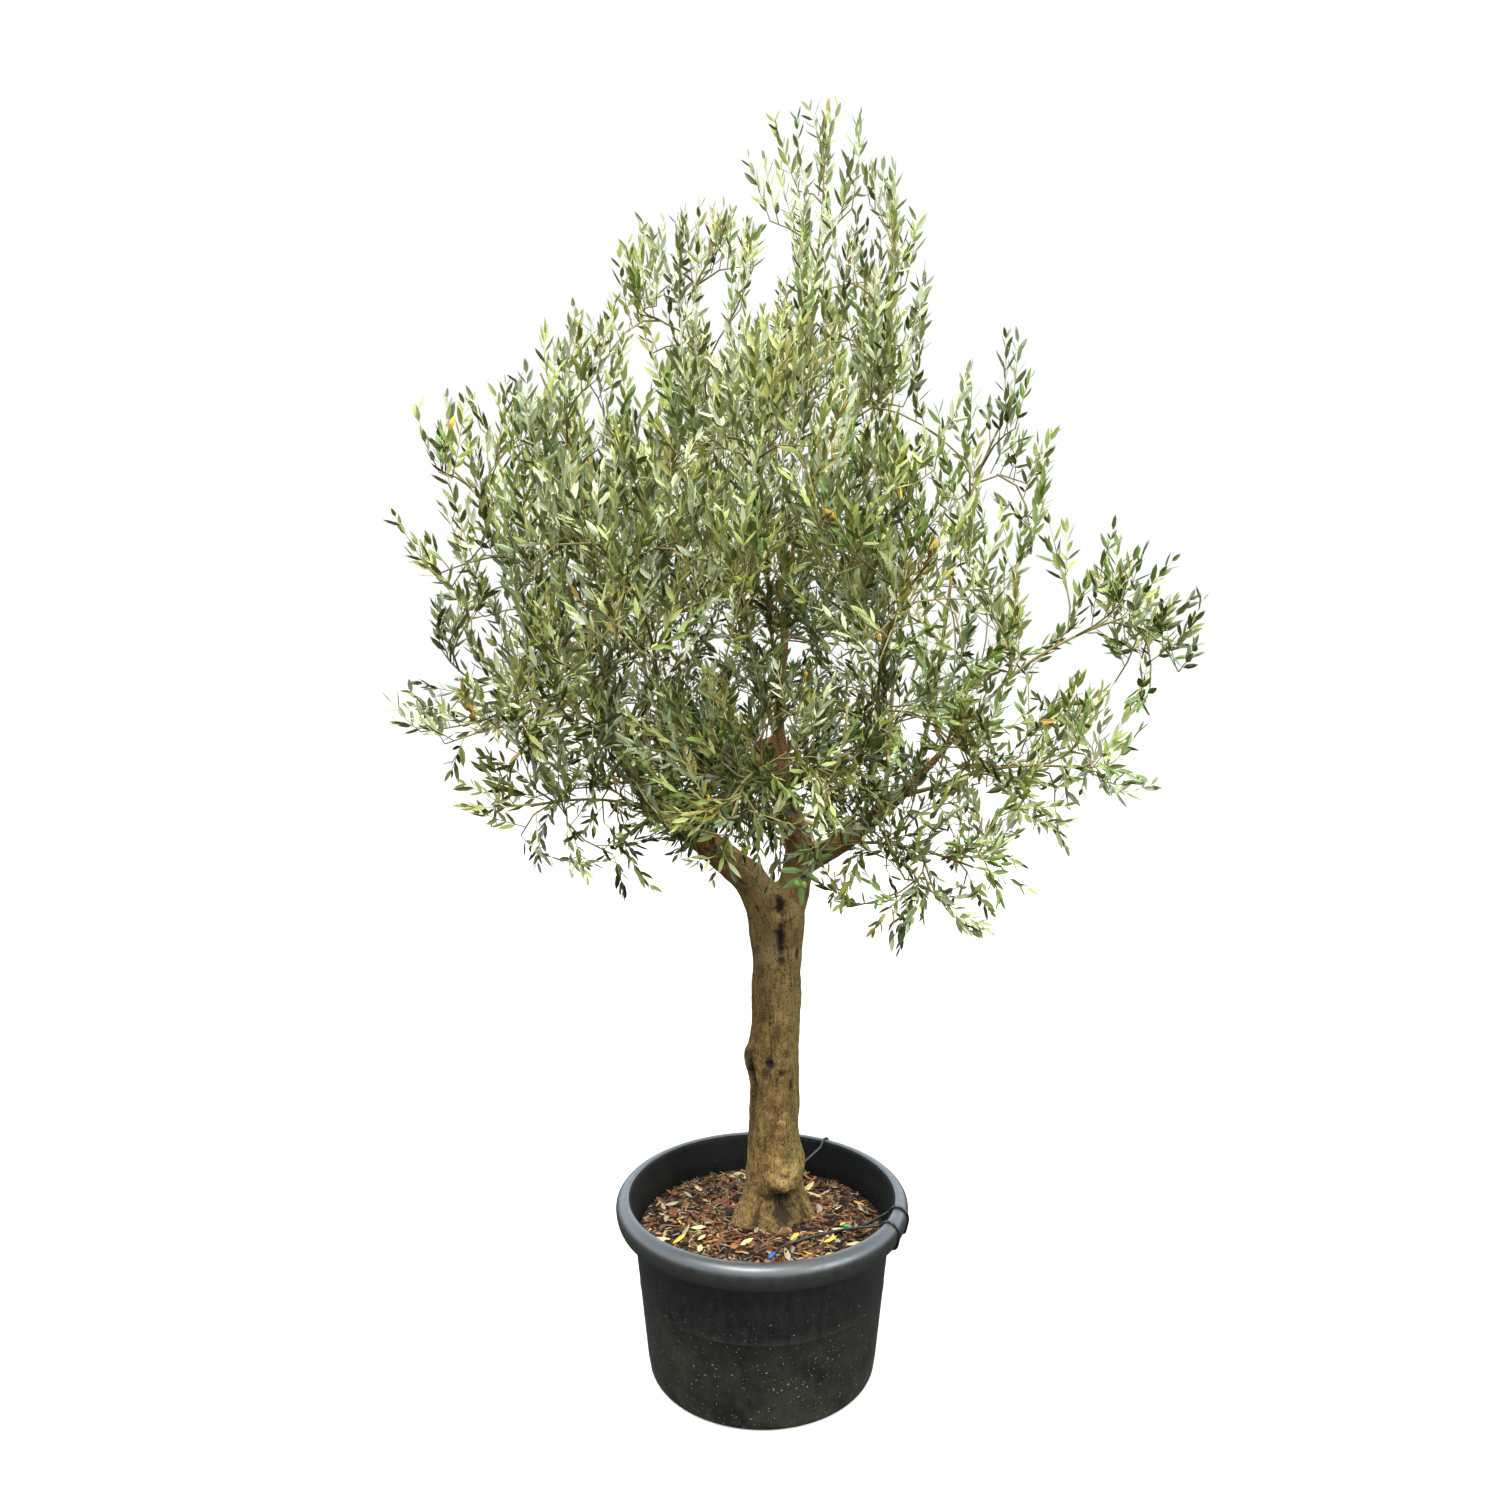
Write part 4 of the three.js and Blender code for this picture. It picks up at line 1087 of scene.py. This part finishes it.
def foot_of(name, start):
    """Where a bough's tip enters its mass."""
    index = list(MASSES).index(name)
    toward = (np.array(start) - MASS_CENTRES[index]) / MASS_REACHES[index]
    shorter = min(1, 1 / np.linalg.norm(toward))
    return MASS_CENTRES[index] + MASS_REACHES[index] * toward * shorter * FOOT_SHARE


def plan_limbs():
    """The centre line and radii of every bough, by the name of its mass."""
    limbs = {}
    for name, (start, via, base) in MAIN_LIMBS.items():
        line = catmull_rom([start, *via, foot_of(name, via[-1])])
        radii = limb_radii(base, len(line)) * thinning(len(line), *LIMB_THINS)
        if name == LEADER:
            radii *= thinning(len(line), *LEADER_THINS)
        limbs[name] = (line, radii)
    for name in SIDE_LIMBS:
        parent, share = MASSES[name][:2]
        line, radii = limbs[parent]
        place = int(round(share * (len(line) - 1)))
        start = line[place]
        end = foot_of(name, start)
        curve = evenly(bezier(start, mix(start, end, SIDE_BEND), end), CURVE_POINTS)
        limbs[name] = (curve, limb_radii(min(SIDE_LIMB_BASE, SIDE_LIMB_MOST * radii[place]), len(curve)))
    return limbs


def remeshed(pile, name):
    """One closed skin round overlapping bodies."""
    source = link_object("bodies", pile.mesh("bodies"))
    skin = source.modifiers.new("skin", "REMESH")
    skin.mode = "VOXEL"
    skin.voxel_size = SKIN_VOXEL
    soft = source.modifiers.new("soft", "SMOOTH")
    soft.factor = 0.5
    soft.iterations = SKIN_SMOOTHING
    bpy.context.view_layer.update()
    evaluated = source.evaluated_get(bpy.context.evaluated_depsgraph_get())
    mesh = bpy.data.meshes.new_from_object(evaluated)
    mesh.name = name
    bpy.data.objects.remove(source)
    return mesh


def trunk_skin(limbs):
    pile = Pile()
    pile.add(*trunk_loft())
    for name in MAIN_LIMBS:
        line, radii = limbs[name]
        pile.add_tube(evenly(line, LIMB_RINGS), spread_over(radii, LIMB_RINGS), LIMB_SIDES)
    pile.add_tube(evenly(STUB, STUB_RINGS), np.linspace(*STUB_RADII, STUB_RINGS), LIMB_SIDES)
    return remeshed(pile, "trunk_and_limbs")


def trunk_marks(places, turns, normals):
    """How deep each vertex is sunk in a mark, and how dark it is: painted shade and dark bark in a mark, or
    the stub's dark cut.
    """
    ragged = layers(places, MARK_RAGGED)
    sunk = np.zeros(len(places))
    dark = np.zeros(len(places))
    for *mark, depth, darkness in MARKS:
        spread = mark_spread(turns, places[:, 2], *mark)
        core = np.clip(MARK_CORE * np.exp(-spread * (1 + ragged)) - MARK_FADE, 0, 1)
        sunk += depth * np.exp(-spread)
        dark = np.maximum(dark, darkness * core)
    on_cut = np.linalg.norm(places - STUB[1], axis=1) < STUB_RADII[1] * CUT_SPREAD
    facing = normals @ unit(STUB[1] - STUB[0]) > CUT_FACING
    return sunk, np.maximum(dark, CUT_DARK * (on_cut & facing))


def bark_grain(places, limbs):
    """Where each vertex lies in its limb's own pattern, and how mossy it is."""
    heights = np.linspace(GROUND - GRAIN_INSET, TRUNK_TOP - GRAIN_INSET, GRAIN_POINTS)
    axes = [np.stack((*trunk_axis(heights), heights), axis=1)]
    axes += [limbs[name][0][::2] for name in MAIN_LIMBS]
    axes.append(evenly(STUB, 20))
    centres = np.concatenate(axes)
    alongs = np.concatenate([lengths_along(axis) + number * GRAIN_SHIFT for number, axis in enumerate(axes)])
    tree = kdtree.KDTree(len(centres))
    for number, centre in enumerate(centres):
        tree.insert(centre, number)
    tree.balance()
    nearest = np.array([tree.find(place)[1] for place in places])
    offsets = places - centres[nearest]
    moss = rising(rows_unit(offsets)[:, 0], *MOSS_SIDE) * smooth((MOSS_TOP - places[:, 2]) / MOSS_FADE)
    moss *= patches(places, *MOSS_PATCHES)
    return offsets + alongs[nearest][:, None] * GRAIN_LINE, moss


def make_trunk(limbs):
    mesh = trunk_skin(limbs)
    places = vertex_rows(mesh.vertices, "co")
    normals = vertex_rows(mesh.vertex_normals, "vector")
    x, y = trunk_axis(places[:, 2])
    turns = np.arctan2(places[:, 1] - y, places[:, 0] - x)
    grain, moss = bark_grain(places, limbs)
    sunk, dark = trunk_marks(places, turns, normals)
    gnarled = smooth((GNARLED_TOP - places[:, 2]) / (GNARLED_TOP - GROUND))
    knob = np.exp(-mark_spread(turns, places[:, 2], *KNOB))
    relief = layers(places, BARK_RELIEF) + layers(grain, GRAIN_RELIEF)
    relief += gnarled * layers(places, GNARLED_RELIEF)
    relief += knob * layers(places, KNOB_RELIEF)
    places += normals * (relief - sunk)[:, None]
    mesh.vertices.foreach_set("co", places.astype(np.float32).ravel())
    mesh.update()
    heights = places[:, 2]
    # Pale: painted sunlight on the upper trunk under the fork, and paler bark at the gnarled foot and the
    # knob.
    pale = rising(heights, *PALE_BARK) * smooth((TRUNK_TOP + PALE_END - heights) / PALE_END)
    pale += GNARLED_PALE * gnarled + KNOB_PALE * knob
    store(mesh, "grain", grain)
    # Dark: painted shade in the marks' hollows with dark bark streaks, and the stub's dark cut.
    store(mesh, "dark", dark)
    store(mesh, "moss", moss)
    # Red: reddish bark above the fork, darkened as painted shade of the crown.
    store(mesh, "red_and_shade", rising(heights, *RED_SHADED_BARK))
    store(mesh, "pale", pale * patches(places, *PALE_PATCHES))
    nodes = ["trunk"] + ["bough_" + name for name in MAIN_LIMBS]
    add_piece(mesh, [bark_material()], nodes)


def add_uneven_limb(pile, line, radii, spacing, least):
    points = evenly(line, max(least, int(length_of(line) / spacing)))
    height, scale = SIDE_UNEVEN
    sizes = spread_over(radii, len(points)) * (1 + height * noise_at(points, scale))
    pile.add_tube(points, sizes, SIDE_SIDES)


def make_side_boughs(limbs, stems):
    pile = Pile()
    for name in SIDE_LIMBS:
        line, radii = limbs[name]
        add_uneven_limb(pile, line, radii * SIDE_BOUGH_SHARE, spacing=0.03, least=8)
    for line in stems.values():
        add_uneven_limb(pile, line, np.linspace(*STEM_RADII, len(line)), spacing=0.025, least=6)
    mesh = pile.mesh("side_boughs")
    store(mesh, "grain", np.concatenate(pile.grain))
    add_piece(mesh, [young_bark_material()], ["bough_" + name for name in SIDE_LIMBS])


# Crown

def first_draw(seed):
    """First number of the seeded stream that the solids' shoots draw from."""
    state = (seed + 0x6D2B79F5) & 0xFFFFFFFF
    mixed = ((state ^ (state >> 15)) * (1 | state)) & 0xFFFFFFFF
    mixed = ((mixed + (((mixed ^ (mixed >> 7)) * (61 | mixed)) & 0xFFFFFFFF)) & 0xFFFFFFFF) ^ mixed
    return ((mixed ^ (mixed >> 14)) & 0xFFFFFFFF) / 4294967296


def reach_shares(points):
    """How far out each point is for each mass: 0 at its centre, 1 at its reach."""
    return np.linalg.norm((points[None] - MASS_CENTRES[:, None]) / MASS_REACHES[:, None], axis=2)


def in_own_space(index, points):
    """Which points lie within the mass's reach and nearer to it than to any other mass."""
    shares = reach_shares(points)
    own = shares[index].copy()
    shares[index] = np.inf
    return (own <= 1) & (own + CELL_MARGIN <= shares.min(axis=0))


def own_volumes():
    """Cubic metres of each mass's own space, by trial points."""
    trials = random.uniform(-1, 1, (SPACE_TRIALS, 3))
    volumes = []
    for index, (centre, reach) in enumerate(zip(MASS_CENTRES, MASS_REACHES)):
        volumes.append(8 * reach.prod() * in_own_space(index, centre + reach * trials).mean())
    return volumes


def within_reach(index, line):
    """The part of a line, from its start, that stays inside a mass's reach, or any mass's."""
    shares = reach_shares(line)
    share = shares.min(axis=0) if index is None else shares[index]
    inside = (share <= TWIG_REACH) & (line > TIPS_LOW).all(axis=1) & (line < TIPS_HIGH).all(axis=1)
    inside[0] = True
    return line[: len(line) if inside.all() else int(inside.argmin())]


def rise_at(height):
    """How far up the crown a height is, from 0 at its foot to 1 near its top."""
    return float(np.clip((height - CROWN_FOOT) / (CROWN_TOP - CROWN_FOOT), 0, 1))


def stem_line(index, bough):
    """The stem grows on from the bough's tip, up or out by the height of its mass."""
    centre = MASS_CENTRES[index]
    rise = rise_at(centre[2])
    outward = unit(np.array((centre[0] - TRUNK_FORK[0], centre[1] - TRUNK_FORK[1], 0)))
    aim = unit(outward * (1 - UPRIGHT * rise) + UP * mix(DROOP, 1, rise))
    tip = centre + MASS_REACHES[index] * aim * STEM_SHARE
    start = bough[-1]
    heading = unit(bough[-1] - bough[-3])
    return bezier(start, start + heading * BRANCH_BACK * np.linalg.norm(tip - start), tip)


def shoot_aim(index, number):
    """Where a shoot of a mass reaches: the first ones as in the solids, the others all through its space."""
    draw = first_draw(1000 * (index + 1) + number)
    reach = mix(*FINER_REACH, math.sqrt(draw))
    if number < SOLID_SHOOTS:
        reach = SHOOT_SHARE * mix(*SHOOT_SPREAD, draw)
    level = 1 - 2 * ((0.5 + number * LEVEL_STEP) % 1)
    turn = FULL_TURN * ((number * TURN_STEP) % 1)
    flat = math.sqrt(1 - level * level)
    aim = np.array((flat * math.cos(turn), flat * math.sin(turn), level)) * reach
    return MASS_CENTRES[index] + MASS_REACHES[index] * aim


def shoot_aims(index, mass, volume):
    """Aims of all shoots of a mass, with those for its fuller places."""
    count = max(LEAST_SHOOTS, round(SHOOTS_PER_CUBIC_METRE * volume * MASSES[mass][2]))
    aims = [shoot_aim(index, number) for number in range(count)]
    for fuller, centre, half, more in FULL_PLACES:
        if fuller == mass:
            aims += list(np.array(centre) + np.array(half) * random.uniform(-1, 1, (more, 3)))
    return aims


def shoot_line(index, target, stem):
    """A shoot that leaves the stem below its aim and bends out to it, and its share along the stem."""
    places = stem[np.linspace(0, len(stem) - 1, STEM_PLACES + 1).round().astype(int)]
    distances = np.linalg.norm(places - target, axis=1)
    near = distances.argmin()
    along = max(FIRST_SHOOT, near / STEM_PLACES - BRANCH_BACK * distances[near] / length_of(stem))
    place = min(len(stem) - 2, int(along * (len(stem) - 1)))
    start = stem[place]
    away = np.linalg.norm(target - start)
    bend = start + unit(stem[place + 1] - start) * FOLLOW_STEM * away
    line = evenly(bezier(start, bend, target), max(3, int(round(away / STEP)) + 1))
    return within_reach(index, line), place / (len(stem) - 1)


def plan_shoots(index, aims, stem, bough):
    """Shoots of a mass as (line, number of the shoot that carries it or None, share along that one)."""
    carriers = {None: evenly(np.concatenate((bough[len(bough) // 2:], stem[1:])), len(stem))}
    planned = []
    for number, aim in enumerate(aims):
        solid = number < SOLID_SHOOTS
        parent = None
        if not solid:
            parent = min(carriers, key=lambda key: np.linalg.norm(carriers[key] - aim, axis=1).min())
        shoot, share = shoot_line(index, aim, stem if solid else carriers[parent])
        if len(shoot) > 3:
            if solid:
                carriers[len(planned)] = evenly(shoot, len(stem))
            planned.append((shoot, parent, share))
    return planned


def turned_from(direction, angle, turn):
    side = across(direction)
    other = np.cross(direction, side)
    return direction * math.cos(angle) + (side * math.cos(turn) + other * math.sin(turn)) * math.sin(angle)


def leaf_share(place):
    """How large the leaves of a twig are that starts at the place."""
    middle = mix(MIDDLE_LEAVES, 1, min(1, abs(place[0]) / SIDE_LEAVES_FROM))
    return middle * mix(LOW_LEAVES, 1, rise_at(place[2]))


def twig_line(index, start, direction, length, lift):
    """A whip that leaves in the given direction and bends up or down as it goes."""
    spacing = LEAF_SPACING * leaf_share(start)
    wander = random.normal(0, TWIG_WANDER, 3)
    points = [start]
    for _ in range(max(3, int(length / spacing))):
        direction = unit(direction + UP * lift + wander + random.normal(0, TWIG_JITTER, 3))
        points.append(points[-1] + direction * spacing)
    return within_reach(index, np.array(points))


def in_open_place(points):
    """Which points lie in a place that is kept free of leaves."""
    inside = np.zeros(len(points), bool)
    for centre, half in OPEN_PLACES:
        inside |= np.linalg.norm((points - np.array(centre)) / np.array(half), axis=1) < 1
    return inside


def in_sky_gap(point):
    """Whether a twig is left out there, by the gap that covers the point from the front."""
    seen = EYE + (point - EYE) * EYE[1] / (EYE[1] - point[1])
    chance = 0
    for x, z, half_width, half_height, share in SKY_GAPS:
        inner = 1 - math.hypot((seen[0] - x) / half_width, (seen[2] - z) / half_height)
        chance = max(chance, share * min(1, 2 * inner))
    return random.random() < chance


def light_at(place):
    """How light the tints are at a place: about 0 in shade and 1 in full light."""
    x, y, z = place
    rise = rise_at(z)
    light = min(1, rise + SIDE_LIGHT[int(x > 0)] * max(0, abs(x) - SIDE_FROM))
    light -= INNER_SHADE * (1 - rise) ** 2 * max(0, 1 - math.hypot(x, y) / INNER_RADIUS)
    return light - RIGHT_SHADE * rise * max(0, x)


def tint_at(place):
    light = light_at(place)
    odds = np.array([max(0, mix(low, high, light)) for _, _, low, high in TINTS.values()])
    odds[list(TINTS).index("fresh")] *= 1 + FRESH_RIGHT * max(0, place[0])
    return random.choice(list(TINTS), p=odds / odds.sum())


def leaves_on(line):
    """Pairs of leaves at each node of a twig, turned a quarter from pair to pair."""
    count = len(line) - 1
    tangents = rows_unit(np.gradient(line, axis=0))[1:]
    side = rows_unit(np.cross(tangents, across(tangents[0]) + 1e-6))
    other = np.cross(tangents, side)
    nodes = np.arange(count)
    turns = nodes * math.pi / 2 + random.uniform(0, FULL_TURN) + random.normal(0, TURN_JITTER, count)
    out = side * np.cos(turns)[:, None] + other * np.sin(turns)[:, None]
    roots = np.repeat(line[1:], 2, axis=0)
    stems = np.repeat(tangents, 2, axis=0)
    outs = np.stack((out, -out), axis=1).reshape(-1, 3)
    shares = np.repeat((nodes + 1) / count, 2)
    angles = np.radians(mix(*LEAF_ANGLES, shares) + random.normal(0, ANGLE_JITTER, 2 * count))
    headings = stems * np.cos(angles)[:, None] + outs * np.sin(angles)[:, None]
    headings = rows_unit(headings + random.normal(0, HEADING_JITTER, headings.shape) - UP * LEAF_SAG)
    normals = stems - headings * (stems * headings).sum(1)[:, None]
    normals = rows_unit(normals + random.normal(0, NORMAL_JITTER, headings.shape))
    sizes = LEAF_LENGTH * random.uniform(*LEAF_SIZES, 2 * count) * np.where(shares > TIP_FROM, TIP_LEAVES, 1)
    sizes *= leaf_share(line[0])
    keep = (random.random(2 * count) > LEAF_GAPS) & ~in_open_place(roots)
    return roots[keep], headings[keep], normals[keep], sizes[keep]


def grow_twig(index, start, heading, whip):
    """One leafy twig: its line, and its spray as (tint, roots, headings, normals, sizes)."""
    rise = rise_at(start[2])
    droops = random.random() < DROOP_SHARE * (1 - DROOPS_FALL * rise)
    turn, lift = BENDS_DOWN if droops else mix(BENDS_UP_LOW, BENDS_UP_HIGH, rise)
    length = random.uniform(*(WHIP_LENGTHS if whip else SPUR_LENGTHS))
    line = twig_line(index, start, unit(heading + UP * turn), length, lift)
    if len(line) < 4 or in_sky_gap(line[len(line) // 2]):
        return None
    tint = tint_at(line[-1])
    return line, (tint, *leaves_on(line))


def twigs_along(index, shoot, number):
    """Twigs of a shoot as (place on it, twig), without those that are left out."""
    count = max(2, round(length_of(shoot) / TWIG_SPACING))
    last = len(shoot) - 1
    twigs = []
    for twig in range(count + 1):
        place = min(last, int(round((FIRST_TWIG + (1 - FIRST_TWIG) * twig / count) * last)))
        heading = unit(shoot[place] - shoot[max(0, place - 1)])
        if twig < count:
            heading = turned_from(heading, random.uniform(*TWIG_ANGLES), twig * GOLDEN_ANGLE + number)
        whip = twig == count or random.random() < WHIP_SHARE
        twigs.append((place, grow_twig(index, shoot[place], heading, whip)))
    return [(place, twig) for place, twig in twigs if twig]


def grow_shoots(index, planned):
    """Lines of the shoots that carry enough, as far as they carry, and their twigs."""
    shoots = []
    leafy = []
    used = [0] * len(planned)
    for number in reversed(range(len(planned))):
        shoot, parent, share = planned[number]
        twigs = twigs_along(index, shoot, number)
        end = max([used[number]] + [place for place, _ in twigs])
        if end < 2 or (used[number] == 0 and len(twigs) < LEAST_TWIGS):
            continue
        leafy += [twig for _, twig in twigs]
        shoots.append(shoot[: end + 1])
        if parent is not None:
            used[parent] = max(used[parent], math.ceil(share * (len(planned[parent][0]) - 1)))
    return shoots, leafy


def bough_twigs(bough):
    """Twigs that leave a bough itself, above its bare part."""
    twigs = []
    knots = evenly(bough, max(3, round(length_of(bough) / BOUGH_TWIG_SPACING)))
    for number in range(1, len(knots)):
        if knots[number][2] > BARE_BELOW:
            along = unit(knots[number] - knots[number - 1])
            heading = turned_from(along, BOUGH_TWIG_ANGLE, number * GOLDEN_ANGLE)
            twigs.append(grow_twig(None, knots[number], heading, random.random() < WHIP_SHARE))
    return [twig for twig in twigs if twig]


def grow_crown(limbs):
    """Stems by mass, lines of shoots, and leafy twigs as (line, spray)."""
    stems = {}
    shoots = []
    leafy = []
    volumes = own_volumes()
    for index, mass in enumerate(MASSES):
        bough = limbs[mass][0]
        stems[mass] = stem_line(index, bough)
        aims = shoot_aims(index, mass, volumes[index])
        grown, twigs = grow_shoots(index, plan_shoots(index, aims, stems[mass], bough))
        shoots += grown
        leafy += twigs
        leafy += bough_twigs(bough)
    return stems, shoots, leafy


def make_twigs(name, lines, radii, sides, finish):
    pile = Pile()
    for line in lines:
        points = evenly(line, max(3, len(line) // 2))
        pile.add_tube(points, np.linspace(*radii, len(points)), sides)
    add_piece(pile.mesh(name), [plain(finish)], MASS_NODES)


def leaf_blades(roots, headings, normals, sizes):
    """Closed blades, each of 8 vertices and 12 faces, half of them above and half below."""
    count = len(roots)
    normals = rows_unit(normals - headings * (normals * headings).sum(1)[:, None])
    sides = np.cross(normals, headings)
    widths = LEAF_WIDTH / 2 * (sizes / LEAF_LENGTH) ** LEAF_SLIMMING
    curls = LEAF_CURL * random.normal(*CURL_SPREAD, count)

    def midrib(along):
        return roots + headings * (sizes * along)[:, None] - normals * (curls * sizes * along**2)[:, None]

    vertices = np.empty((count, 8, 3))
    vertices[:, 0] = roots
    for station, (along, half) in enumerate(zip(LEAF_STATIONS, LEAF_HALVES)):
        edge = sides * (widths * half)[:, None]
        fold = normals * (widths * LEAF_FOLD)[:, None]
        vertices[:, 1 + 2 * station] = midrib(along) + edge - fold
        vertices[:, 2 + 2 * station] = midrib(along) - edge - fold
    vertices[:, 5] = midrib(LEAF_MIDDLE) + normals * LEAF_THICK / 2
    vertices[:, 6] = midrib(LEAF_MIDDLE) - normals * LEAF_THICK / 2
    vertices[:, 7] = midrib(1.0)
    triangles = (LEAF_FACES[None] + 8 * np.arange(count)[:, None, None]).reshape(-1, 3)
    below = np.tile(np.repeat((0, 1), len(LEAF_UPPER)), count)
    return vertices.reshape(-1, 3), triangles, below


def make_leaves(sprays):
    yellow = [plain("leaf_yellow"), plain("leaf_yellow_below")]
    for tint, (upper, lower, _, _) in TINTS.items():
        gathered = [spray[1:] for spray in sprays if spray[0] == tint]
        roots, headings, normals, sizes = (np.concatenate(column) for column in zip(*gathered))
        vertices, triangles, below = leaf_blades(roots, headings, normals, sizes)
        old = np.repeat(random.random(len(roots)) < YELLOW_SHARE, len(LEAF_FACES))
        pile = Pile()
        pile.add(vertices, triangles, below + 2 * old)
        above_material = principled("leaf_" + tint, upper, *LEAF_FINISH)
        below_material = principled("leaf_" + tint + "_below", lower, *LEAF_BELOW_FINISH)
        materials = [above_material, below_material, *yellow]
        add_piece(pile.mesh("leaves_" + tint), materials, MASS_NODES, flat=True)


def make_fork_spray():
    line = catmull_rom(FORK_SPRAY, FORK_SPRAY_POINTS)
    roots = np.array([line[-place] for _, _, _, place in FORK_LEAVES])
    headings = rows_unit(np.array([(x, FORK_LEAF_FORWARD, z) for x, z, _, _ in FORK_LEAVES]))
    normals = rows_unit(FORK_LEAF_NORMAL + random.normal(0, FORK_LEAF_JITTER, (len(FORK_LEAVES), 3)))
    sizes = np.array([length for _, _, length, _ in FORK_LEAVES]) * FORK_LEAF_SCALE
    leaves = Pile()
    leaves.add(*leaf_blades(roots, headings, normals, sizes))
    green = [plain("leaf_spray"), plain("leaf_spray_below")]
    add_piece(leaves.mesh("leaves_fork_spray"), green, MASS_NODES, flat=True)
    twig = Pile()
    twig.add_tube(line, np.linspace(*TWIG_RADII, len(line)), SHOOT_SIDES)
    add_piece(twig.mesh("twig_fork_spray"), [plain("twig_fresh")], MASS_NODES)
    fruit = Pile()
    half_circle = [(math.sin(t), -math.cos(t)) for t in np.linspace(0, math.pi, OLIVE_RINGS)]
    vertices, triangles = lathe(half_circle, OLIVE_SEGMENTS)
    for place in OLIVES:
        fruit.add(np.array(place) + vertices * OLIVE_RADII, triangles)
    add_piece(fruit.mesh("olives"), [plain("olive")], MASS_NODES)


# Floor, light and camera

def make_floor():
    mesh = bpy.data.meshes.new("floor")
    corners = [(x * FLOOR_HALF, y * FLOOR_HALF, 0) for x, y in ((-1, -1), (1, -1), (1, 1), (-1, 1))]
    mesh.from_pydata(corners, [], [(0, 1, 2, 3)])
    floor = link_object("floor", mesh)
    surface = principled("floor", 0.8, 0.9, 0.1)
    glow = {"Emission Color": 1.0, "Emission Strength": FLOOR_GLOW}
    Nodes(surface.node_tree).fill(surface.node_tree.nodes["Principled BSDF"], glow)
    mesh.materials.append(surface)
    floor.visible_diffuse = False
    floor.visible_glossy = False


def make_world():
    """Soft light, brightest overhead and most so in reflections; the camera sees plain white."""
    world = bpy.data.worlds.new("studio")
    world.use_nodes = True
    sky = Nodes(world.node_tree)
    direction = sky.node("ShaderNodeTexCoord", {}).outputs["Generated"]
    upward = sky.node("ShaderNodeSeparateXYZ", {"Vector": direction}).outputs["Z"]
    height = sky.node("ShaderNodeMapRange", {"Value": upward, "From Min": -1.0}).outputs["Result"]
    rays = sky.node("ShaderNodeLightPath", {}).outputs

    def background(stops):
        return sky.node("ShaderNodeBackground", {"Color": sky.ramp(height, *stops)}).outputs["Background"]

    def chosen(ray, otherwise, when):
        return sky.node("ShaderNodeMixShader", {"Fac": rays[ray], 1: otherwise, 2: when}).outputs["Shader"]

    white = sky.nodes["Background"]
    sky.fill(white, {"Color": 1.0})
    lit = chosen("Is Glossy Ray", background(SOFT_SKY), background(SHINY_SKY))
    seen = chosen("Is Camera Ray", lit, white.outputs["Background"])
    sky.fill(sky.nodes["World Output"], {"Surface": seen})
    bpy.context.scene.world = world


def make_lights():
    for name, (place, target, size, power) in LIGHTS.items():
        lamp = bpy.data.lights.new(name, "AREA")
        lamp.shape = "DISK"
        lamp.size = size
        lamp.energy = power
        light = link_object(name, lamp)
        light.location = place
        light.rotation_euler = (Vector(target) - Vector(place)).to_track_quat("-Z", "Y").to_euler()


def make_camera():
    camera = bpy.data.cameras.new("camera")
    camera.sensor_width = SENSOR_WIDTH
    camera.lens = LENS
    view = link_object("camera", camera)
    view.location = EYE
    view.rotation_euler = (math.radians(90 - DEGREES_DOWN), 0, 0)
    bpy.context.scene.camera = view
    bpy.context.scene.view_settings.view_transform = "Standard"


make_camera()
make_floor()
make_world()
make_lights()
make_pot()
make_mulch()
make_chips()
make_fallen_leaves()
make_drip_lines()
limbs = plan_limbs()
make_trunk(limbs)
# The crown draws from a stream of its own, so that it stays the same when the mulch changes.
random = np.random.default_rng(CROWN_SEED)
stems, shoots, leafy = grow_crown(limbs)
make_side_boughs(limbs, stems)
make_twigs("twigs_fine", [line for line, _ in leafy], TWIG_RADII, TWIG_SIDES, "twig_young")
make_twigs("twigs_woody", shoots, SHOOT_RADII, SHOOT_SIDES, "twig_woody")
make_leaves([spray for _, spray in leafy])
make_fork_spray()
